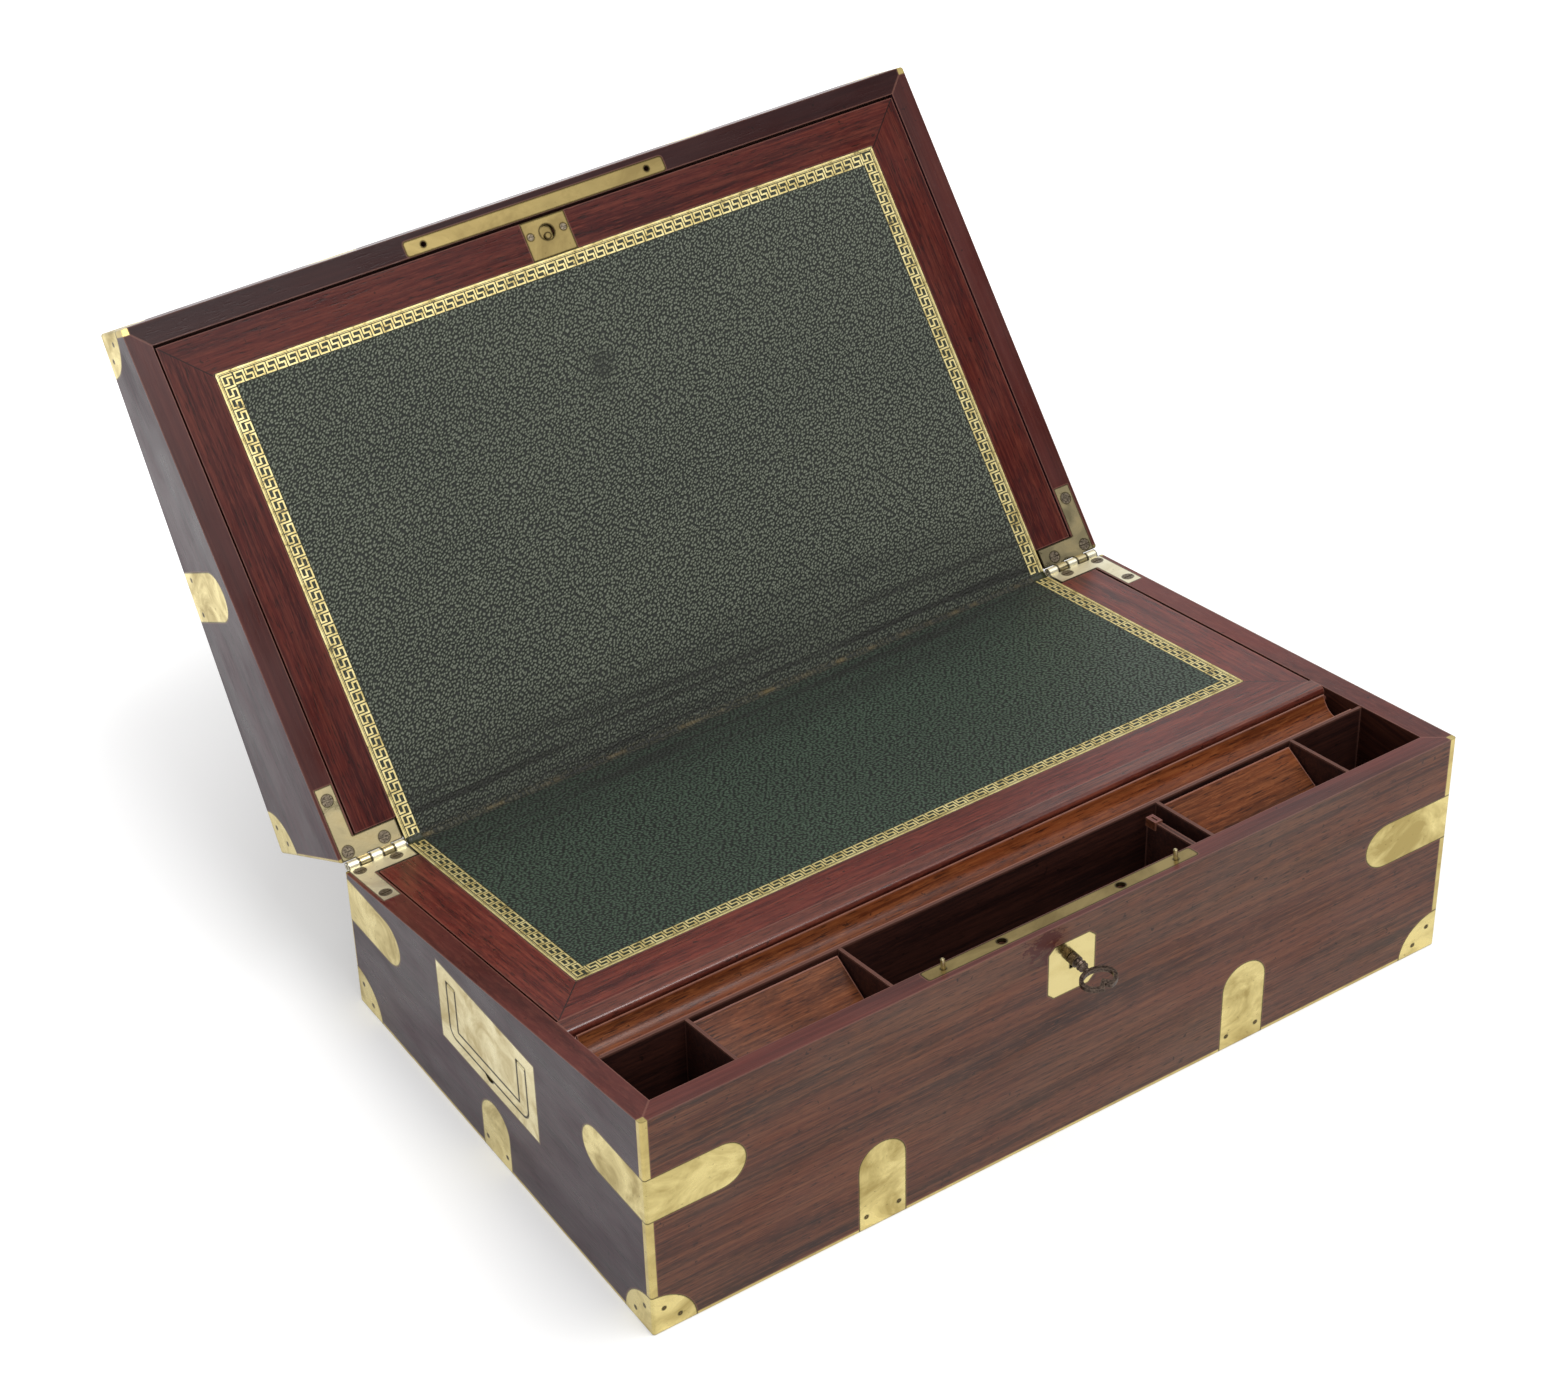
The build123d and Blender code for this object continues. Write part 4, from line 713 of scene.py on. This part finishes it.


# %% [markdown]
# Where a skin is folded again and again, the dye cracks off along the fold, and on the line itself
# the tan of the raw skin shows in places. Painted shade darkens the skin towards the fold, fading
# out within some 55 mm, and lies in dark creases that run along it.

# %% Creases along the fold
def fold_shade_and_wear(tree, colour, flat, from_fold, patch, seed):
    """The colour with painted shade near the fold and in its creases, and bare tan on the line."""
    near_fold = add_node(
        tree, "ShaderNodeMapRange", {0: from_fold, 1: 55 * MM, 2: 4 * MM}
    ).outputs[0]
    # Painted shade: the skin darkens towards the fold
    colour = glaze(tree, colour, linear("#14160f"), near_fold, strength=0.42)
    creases = grain(tree, flat, 160, 5.5, 3, 0.6, 0.25, seed)
    crease_shade = add_node(
        tree, "ShaderNodeMapRange", {0: creases, 1: 0.48, 2: 0.59, 4: near_fold}
    ).outputs[0]
    # Painted shade in the dark crease lines near the fold
    colour = glaze(tree, colour, linear("#14140f"), crease_shade)
    on_line = add_node(
        tree, "ShaderNodeMapRange", {0: from_fold, 1: 1.6 * MM, 2: 0.8 * MM}
    ).outputs[0]
    bare = add_node(
        tree, "ShaderNodeMapRange", {0: patch, 1: 0.5, 2: 0.75, 4: on_line}
    ).outputs[0]
    return glaze(tree, colour, linear("#6f5f3b"), bare)


# %% [markdown]
# The dressed skin is put together from these: colour that clouds and wears, light crowns that are
# partly worn and partly a painted highlight, furrows painted nearly black as painted shade, the
# painted shade of the fold and its creases, a stain where a blotter lay, and under the border a
# band nearly ten millimetres wide that the hot tool left darker and smoother.

# %% Pressed goatskin
def pressed_goatskin(
    name, front, deep, worn, crown, stain=None, seed=0.0, wear=0.6, lay=0.6
):
    finish, tree, output = new_finish(name)
    flat = add_node(tree, "ShaderNodeUVMap", uv_map="skin").outputs[0]
    x, y, _ = add_node(tree, "ShaderNodeSeparateXYZ", {0: flat}).outputs
    from_side, from_front = from_edges(tree, x, y, LEATHER_HALF, front)
    from_edge = add_node(
        tree, "ShaderNodeMath", {0: from_side, 1: from_front}, operation="MINIMUM"
    ).outputs[0]
    from_fold = add_node(tree, "ShaderNodeMath", {0: y, 1: -1.0}, operation="MULTIPLY").outputs[0]
    pebble = pebbles(tree, flat, lay)
    fine = grain(tree, flat, 0.9, 0.7, 3, 0.6, 0.0, seed)
    cloud = grain(tree, flat, 95, 60, 4, 0.6, 0.4, seed + 2)
    patch = grain(tree, flat, 24, 16, 4, 0.6, 0.4, seed + 6)
    colour = glaze(tree, linear(deep), linear(worn), cloud, 0.3, 0.75, wear)
    colour = glaze(tree, colour, linear(worn), patch, 0.5, 0.8, 0.25)
    # Painted highlight on the pebble crowns, partly wear, then painted shade that takes the furrows
    # nearly to black
    colour = glaze(tree, colour, linear(crown), pebble, 0.4, 1.0, 0.7)
    colour = glaze(tree, colour, linear("#0c1009"), pebble, 0.45, 0.1, 0.95)
    colour = fold_shade_and_wear(tree, colour, flat, from_fold, patch, seed + 9)
    if stain is not None:
        colour = ragged_spot(
            tree, colour, linear("#1d201a"), flat, stain, patch,
            spread=40, outer=33, inner=25, strength=0.6,
        )
    on_border = add_node(
        tree, "ShaderNodeMapRange", {0: from_edge, 1: (BORDER + 0.3) * MM, 2: BORDER * MM}
    ).outputs[0]
    colour = glaze(tree, colour, linear("#232613"), on_border)
    # The border was ironed nearly flat before it was gilded
    smooth = add_node(
        tree, "ShaderNodeMath", {0: on_border, 1: -0.85, 2: 1.0}, operation="MULTIPLY_ADD"
    ).outputs[0]
    height = add_node(
        tree, "ShaderNodeMath", {0: fine, 1: 0.3, 2: pebble}, operation="MULTIPLY_ADD"
    ).outputs[0]
    ironed = add_node(
        tree, "ShaderNodeMath", {0: height, 1: smooth}, operation="MULTIPLY"
    ).outputs[0]
    relief = add_node(
        tree, "ShaderNodeBump", {"Strength": 1.0, "Distance": 0.7 * MM, "Height": ironed}
    )
    roughness = add_node(tree, "ShaderNodeMapRange", {0: pebble, 3: 0.62, 4: 0.4})
    shader = add_node(
        tree,
        "ShaderNodeBsdfPrincipled",
        {
            "Base Color": colour,
            "Roughness": roughness.outputs[0],
            "IOR": 1.5,
            "Specular IOR Level": 0.38,
            "Normal": relief.outputs[0],
        },
    )
    tree.links.new(shader.outputs[0], output.inputs[0])
    return finish


leathers["lower"].data.materials.append(
    pressed_goatskin(
        "green_goatskin_lower", skins["lower"]["front"], "#142118", "#273a2a", "#4d604d", seed=2,
    )
)
leathers["upper"].data.materials.append(
    pressed_goatskin(
        "green_goatskin_upper", skins["upper"]["front"], "#293327", "#464d3e", "#7b7f71",
        stain=(0, -201, 0), seed=8, lay=-0.7,
    )
)
print("dressed", [piece.name for piece in leathers.values()])

# %% [markdown]
# Along the open edges of the skin runs a gilt Greek key, a common border on such slopes. The binder
# rolled it on with gold leaf and a hot wheel, so it turns the same way all round. One turn of the
# key is one flat outline that ends where the next begins, raised a hair above the skin; plain lines
# run outside it. Keys stop short of the corners, as the wheel did.

# %% Rolling the gilt border
KEY_STEP = 6.5
KEY_LOW, KEY_HIGH = 2.6, 9.3
KEY_STROKE = 0.95
KEY_GAP = 0.65
GILT_SINK, GILT_RISE = 0.15, 0.06
GILT_LINES = ((0.35, 1.45), (1.75, 2.05))
KEYS_OFF_FOLD = 1.0
LINES_OFF_FOLD = 0.6


def lay_face(gilt, points, frame_at):
    """One flat face through the points, given along the band and inwards from its edge."""
    verts = [gilt.verts.new(frame_at @ Vector((u, v, 0))) for u, v in points]
    return gilt.faces.new(verts)


def key_points(u, length):
    """The outline of one turn of the key, from its long bar to the start of the next one."""
    bar, low, high = KEY_STROKE, KEY_LOW, KEY_HIGH
    mid = (low + high - bar) / 2
    near = u + bar + KEY_GAP
    far = u + length - KEY_GAP
    end = u + length
    return [
        (u, low), (far, low), (far, mid + bar), (near + bar, mid + bar), (near + bar, high - bar),
        (end, high - bar), (end, high), (near, high), (near, mid), (far - bar, mid),
        (far - bar, low + bar), (u + bar, low + bar), (u + bar, high), (u, high),
    ]


def roll_border(name, front, plane, body, **_):
    gilt = bmesh.new()
    side_length = BACK_EDGE - front
    runs = (
        (2 * LEATHER_HALF, (-LEATHER_HALF, front, 0), 0, True),
        (side_length, (-LEATHER_HALF, BACK_EDGE, 0), -math.pi / 2, False),
        (side_length, (LEATHER_HALF, front, 0), math.pi / 2, False),
    )
    for number, (length, corner, turn, whole) in enumerate(runs):
        frame_at = Matrix.Translation(corner) @ Matrix.Rotation(turn, 4, "Z")
        start = BORDER if whole else KEY_LOW if number == 2 else KEYS_OFF_FOLD
        end = length - (BORDER if whole else KEY_LOW if number == 1 else KEYS_OFF_FOLD)
        count = math.floor((end - start) / KEY_STEP)
        step = (end - start) / count
        for repeat in range(count):
            lay_face(gilt, key_points(start + repeat * step, step), frame_at)
        for low, high in GILT_LINES:
            near = low if whole or number == 2 else LINES_OFF_FOLD
            far = length - (low if whole or number == 1 else LINES_OFF_FOLD)
            lay_face(gilt, [(near, low), (far, low), (far, high), (near, high)], frame_at)
    bmesh.ops.recalc_face_normals(gilt, faces=gilt.faces)
    for face in gilt.faces:
        if face.normal.z < 0:
            face.normal_flip()
    bmesh.ops.translate(gilt, vec=(0, 0, LEATHER_TOP - GILT_SINK), verts=gilt.verts)
    raised = bmesh.ops.extrude_face_region(gilt, geom=gilt.faces[:], use_keep_orig=True)
    tops = [item for item in raised["geom"] if isinstance(item, bmesh.types.BMVert)]
    bmesh.ops.translate(gilt, vec=(0, 0, GILT_SINK + GILT_RISE), verts=tops)
    bmesh.ops.recalc_face_normals(gilt, faces=gilt.faces)
    bmesh.ops.scale(gilt, vec=(MM, MM, MM), verts=gilt.verts)
    bmesh.ops.transform(gilt, matrix=plane, verts=gilt.verts)
    piece = as_piece(f"{name}_gilt_border", gilt)
    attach(piece, body)
    print(piece.name, len(piece.data.polygons), "faces")
    return piece


borders = {name: roll_border(name, **facts) for name, facts in skins.items()}

# %% [markdown]
# Gold leaf is metal too, but so thin that it wears through on the high points of the skin and
# shows the brown of the leather there.

# %% Worn gold leaf
def worn_gold_leaf(name, seed):
    finish, tree, output = new_finish(name)
    place = add_node(tree, "ShaderNodeTexCoord").outputs["Object"]
    rub = grain(tree, place, 7, 7, 4, 0.7, 0.0, seed)
    fleck = grain(tree, place, 1.0, 1.0, 2, 0.6, 0.0, seed + 3)
    wear = add_node(
        tree, "ShaderNodeMath", {0: fleck, 1: 0.5, 2: rub}, operation="MULTIPLY_ADD"
    ).outputs[0]
    colour = glaze(tree, linear("#e3d59a"), linear("#c2ad6a"), rub, 0.35, 0.65)
    colour = glaze(tree, colour, linear("#5f532f"), wear, 0.84, 0.98)
    metal = add_node(tree, "ShaderNodeMapRange", {0: wear, 1: 0.84, 2: 0.98, 3: 0.55, 4: 0.0})
    roughness = add_node(
        tree, "ShaderNodeMapRange", {0: fleck, 1: 0.3, 2: 0.7, 3: 0.38, 4: 0.55}
    )
    relief = add_node(
        tree, "ShaderNodeBump", {"Strength": 0.3, "Distance": 0.05 * MM, "Height": fleck}
    )
    shader = add_node(
        tree,
        "ShaderNodeBsdfPrincipled",
        {
            "Base Color": colour,
            "Metallic": metal.outputs[0],
            "Roughness": roughness.outputs[0],
            "Normal": relief.outputs[0],
        },
    )
    tree.links.new(shader.outputs[0], output.inputs[0])
    return finish


for number, border in enumerate(borders.values()):
    border.data.materials.append(worn_gold_leaf(f"worn_gold_leaf_{number + 1}", 4.0 * number))
print("gilded", [border.name for border in borders.values()])

# %% [markdown]
# At the fold the skin runs on from one half to the other. It is the one piece that has to bend, so
# a narrow strip is drawn as a soft valley profile, pulled out along the hinge line, roughened and
# thickened, with one side laid in the plane of the base and the other in the plane of the lid.

# %% The fold of the leather
FOLD_REACH = 3.4
FOLD_LIFT = 0.14
FOLD_TUCK = 0.1
FOLD_HALF = LEATHER_HALF - 0.5
FOLD_STEPS = 140
FOLD_THICK = 0.4
WOBBLE = 0.07
WOBBLE_ALONG, WOBBLE_ACROSS = 6 * MM, 2 * MM
steps_down = (
    (-FOLD_REACH, LEATHER_TOP - FOLD_TUCK),
    (-FOLD_REACH * 0.6, LEATHER_TOP + FOLD_LIFT),
    (-1.0, LEATHER_TOP + FOLD_LIFT),
)
valley = [base_plane @ (Vector((-FOLD_HALF, y, z)) * MM) for y, z in steps_down]
valley += [lid_plane @ (Vector((FOLD_HALF, y, z)) * MM) for y, z in reversed(steps_down)]
fold = bmesh.new()
profile = [fold.verts.new(point) for point in valley]
threads = [fold.edges.new(pair) for pair in zip(profile, profile[1:])]
bmesh.ops.subdivide_edges(fold, edges=threads, cuts=2)
bmesh.ops.smooth_vert(fold, verts=[v for v in fold.verts if len(v.link_edges) == 2], factor=0.5)
fold_step = 2 * FOLD_HALF * MM / FOLD_STEPS
bmesh.ops.spin(
    fold, geom=fold.verts[:] + fold.edges[:], axis=(1, 0, 0), cent=(0, 0, 0),
    dvec=(fold_step, 0, 0), angle=0.0, steps=FOLD_STEPS, use_merge=False, use_duplicate=False,
)
bmesh.ops.remove_doubles(fold, verts=fold.verts, dist=0.00001)
bmesh.ops.recalc_face_normals(fold, faces=fold.faces)
outward = Vector((0, -1, 1))
if sum(f.normal.dot(outward) * f.calc_area() for f in fold.faces) < 0:
    bmesh.ops.reverse_faces(fold, faces=fold.faces)
fold.normal_update()
for vert in fold.verts:
    x, y, z = vert.co
    crinkle = Vector((x / WOBBLE_ALONG, y / WOBBLE_ACROSS, z / WOBBLE_ACROSS))
    vert.co += vert.normal * noise.noise(crinkle) * WOBBLE * MM
bmesh.ops.solidify(fold, geom=fold.faces[:], thickness=FOLD_THICK * MM)
fold_map = fold.loops.layers.uv.new("skin")
for face in fold.faces:
    for loop in face.loops:
        offset = (loop.vert.co - hinge_point).yz.length
        loop[fold_map].uv = (loop.vert.co.x, -offset)
leather_fold = as_piece("leather_fold", fold)
leather_fold.data.shade_smooth()
leather_fold.data.materials.append(
    pressed_goatskin(
        "green_goatskin_fold", skins["upper"]["front"], "#252a20", "#3e3d2c", "#5c5a48",
        seed=15, wear=0.8,
    )
)
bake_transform(leather_fold)
print("fold", len(leather_fold.data.polygons), "faces")

# %% [markdown]
# The box stands on a plain pale floor. For the camera and for mirrors the floor adds a little light
# of its own, and more of it further out, where the lamps fall off. So it reads as one sheet of
# white paper and still keeps the soft shadow of the box.

# %% Floor
def seen_plainly(tree):
    """1 for the camera's rays and those that a mirror or glass sends on, 0 for light."""
    rays = add_node(tree, "ShaderNodeLightPath").outputs
    eye_or_mirror = add_node(
        tree,
        "ShaderNodeMath",
        {0: rays["Is Camera Ray"], 1: rays["Is Glossy Ray"]},
        operation="MAXIMUM",
    ).outputs[0]
    return add_node(
        tree,
        "ShaderNodeMath",
        {0: eye_or_mirror, 1: rays["Is Transmission Ray"]},
        operation="MAXIMUM",
    ).outputs[0]


FLOOR_REACH = 12.0
GLOW_FROM, GLOW_TO = 0.36, 0.7
stage_floor = bmesh.new()
bmesh.ops.create_grid(stage_floor, x_segments=1, y_segments=1, size=FLOOR_REACH)
floor = as_piece("studio_floor", stage_floor)
floor.location.z = cad_low.z - 0.2 * MM
paper, tree, output = new_finish("white_paper_floor")
matt = add_node(tree, "ShaderNodeBsdfDiffuse", {"Color": linear("#cfcfcf")})
place = add_node(tree, "ShaderNodeTexCoord").outputs["Object"]
away = add_node(tree, "ShaderNodeVectorMath", {0: place}, operation="LENGTH").outputs["Value"]
paper_glow = add_node(
    tree, "ShaderNodeMapRange", {0: away, 1: GLOW_FROM, 2: GLOW_TO, 3: 0.4, 4: 0.86}
)
shown_glow = add_node(
    tree,
    "ShaderNodeMath",
    {0: seen_plainly(tree), 1: paper_glow.outputs[0]},
    operation="MULTIPLY",
)
glow = add_node(tree, "ShaderNodeEmission", {"Strength": shown_glow.outputs[0]})
both = add_node(tree, "ShaderNodeAddShader", {0: matt.outputs[0], 1: glow.outputs[0]})
tree.links.new(both.outputs[0], output.inputs[0])
floor.data.materials.append(paper)
print("floor", round((cad_low.z - floor.location.z) / MM, 2), "mm below the box")

# %% [markdown]
# The room is white. It looks fully white to the camera and in mirrors, and lights the scene with
# little more than half of that, so that the lamps still give the box its shape.

# %% White room
room = bpy.data.worlds.new("white_room")
bpy.context.scene.world = room
room.use_nodes = True
room.node_tree.nodes.clear()
sky = room.node_tree
strength = add_node(sky, "ShaderNodeMapRange", {0: seen_plainly(sky), 3: 0.55, 4: 1.0})
backdrop = add_node(
    sky,
    "ShaderNodeBackground",
    {"Color": linear("#ffffff"), "Strength": strength.outputs[0]},
)
add_node(sky, "ShaderNodeOutputWorld", {0: backdrop.outputs[0]})
print("room", room.name)

# %% [markdown]
# One large soft box hangs overhead, a little to the right, and a weaker one stands in front. A dark
# card stands out of sight in front on the right, as studios use one to keep white reflections
# off polish: the open lid mirrors it, and so keeps its deep colour.

# %% Light
def soft_box(name, place, aim, size, power):
    """A square lamp of this size in metres and power in watts, turned to its aim."""
    lamp = bpy.data.lights.new(name, "AREA")
    lamp.shape = "SQUARE"
    lamp.size = size
    lamp.energy = power
    box = bpy.data.objects.new(name, lamp)
    bpy.context.scene.collection.objects.link(box)
    box.location = place
    box.rotation_euler = (Vector(aim) - Vector(place)).to_track_quat("-Z", "Y").to_euler()
    print(name, power, "W at", place)


soft_box("overhead_box", (0.3, -0.7, 2.6), aim=(0, 0.05, 0.1), size=1.2, power=48.0)
soft_box("front_fill", (-0.6, -2.6, 1.9), aim=(0, 0, 0.15), size=1.6, power=16.0)

CARD_WIDTH, CARD_HEIGHT = 2.8, 2.1
CARD_PLACE = (1.45, -2.35, 1.6)
card_bmesh = bmesh.new()
bmesh.ops.create_grid(card_bmesh, x_segments=1, y_segments=1, size=0.5)
bmesh.ops.scale(card_bmesh, vec=(CARD_WIDTH, CARD_HEIGHT, 1), verts=card_bmesh.verts)
card = as_piece("dark_card", card_bmesh)
card.location = CARD_PLACE
card.rotation_euler = (-card.location).to_track_quat("Z", "Y").to_euler()
felt, tree, output = new_finish("black_felt")
cloth = add_node(tree, "ShaderNodeBsdfDiffuse", {"Color": linear("#1a1a1a")})
tree.links.new(cloth.outputs[0], output.inputs[0])
card.data.materials.append(felt)

# %% [markdown]
# The camera stands in front and to the left, looking down at the open box.

# %% Camera
AZIMUTH, ELEVATION, ROLL = (math.radians(v) for v in (-32.605, 37.189, -1.698))
DISTANCE = 1.7377
TARGET = Vector((-0.10683, -0.0494, 0.2673))
lens = bpy.data.cameras.new("camera")
lens.sensor_fit = "HORIZONTAL"
lens.sensor_width = 36.0
lens.lens = 83.53
camera = bpy.data.objects.new("camera", lens)
bpy.context.scene.collection.objects.link(camera)
back = Vector(
    (
        math.sin(AZIMUTH) * math.cos(ELEVATION),
        -math.cos(AZIMUTH) * math.cos(ELEVATION),
        math.sin(ELEVATION),
    )
)
right = Vector((math.cos(AZIMUTH), math.sin(AZIMUTH), 0))
up = back.cross(right)
rolled_right = math.cos(ROLL) * right + math.sin(ROLL) * up
rolled_up = -math.sin(ROLL) * right + math.cos(ROLL) * up
facing = Matrix((rolled_right, rolled_up, back)).transposed().to_4x4()
camera.matrix_world = Matrix.Translation(TARGET + back * DISTANCE) @ facing
bpy.context.scene.camera = camera
bpy.context.scene.view_settings.view_transform = "Standard"
print("camera", round(DISTANCE, 2), "m away, lens", lens.lens, "mm")
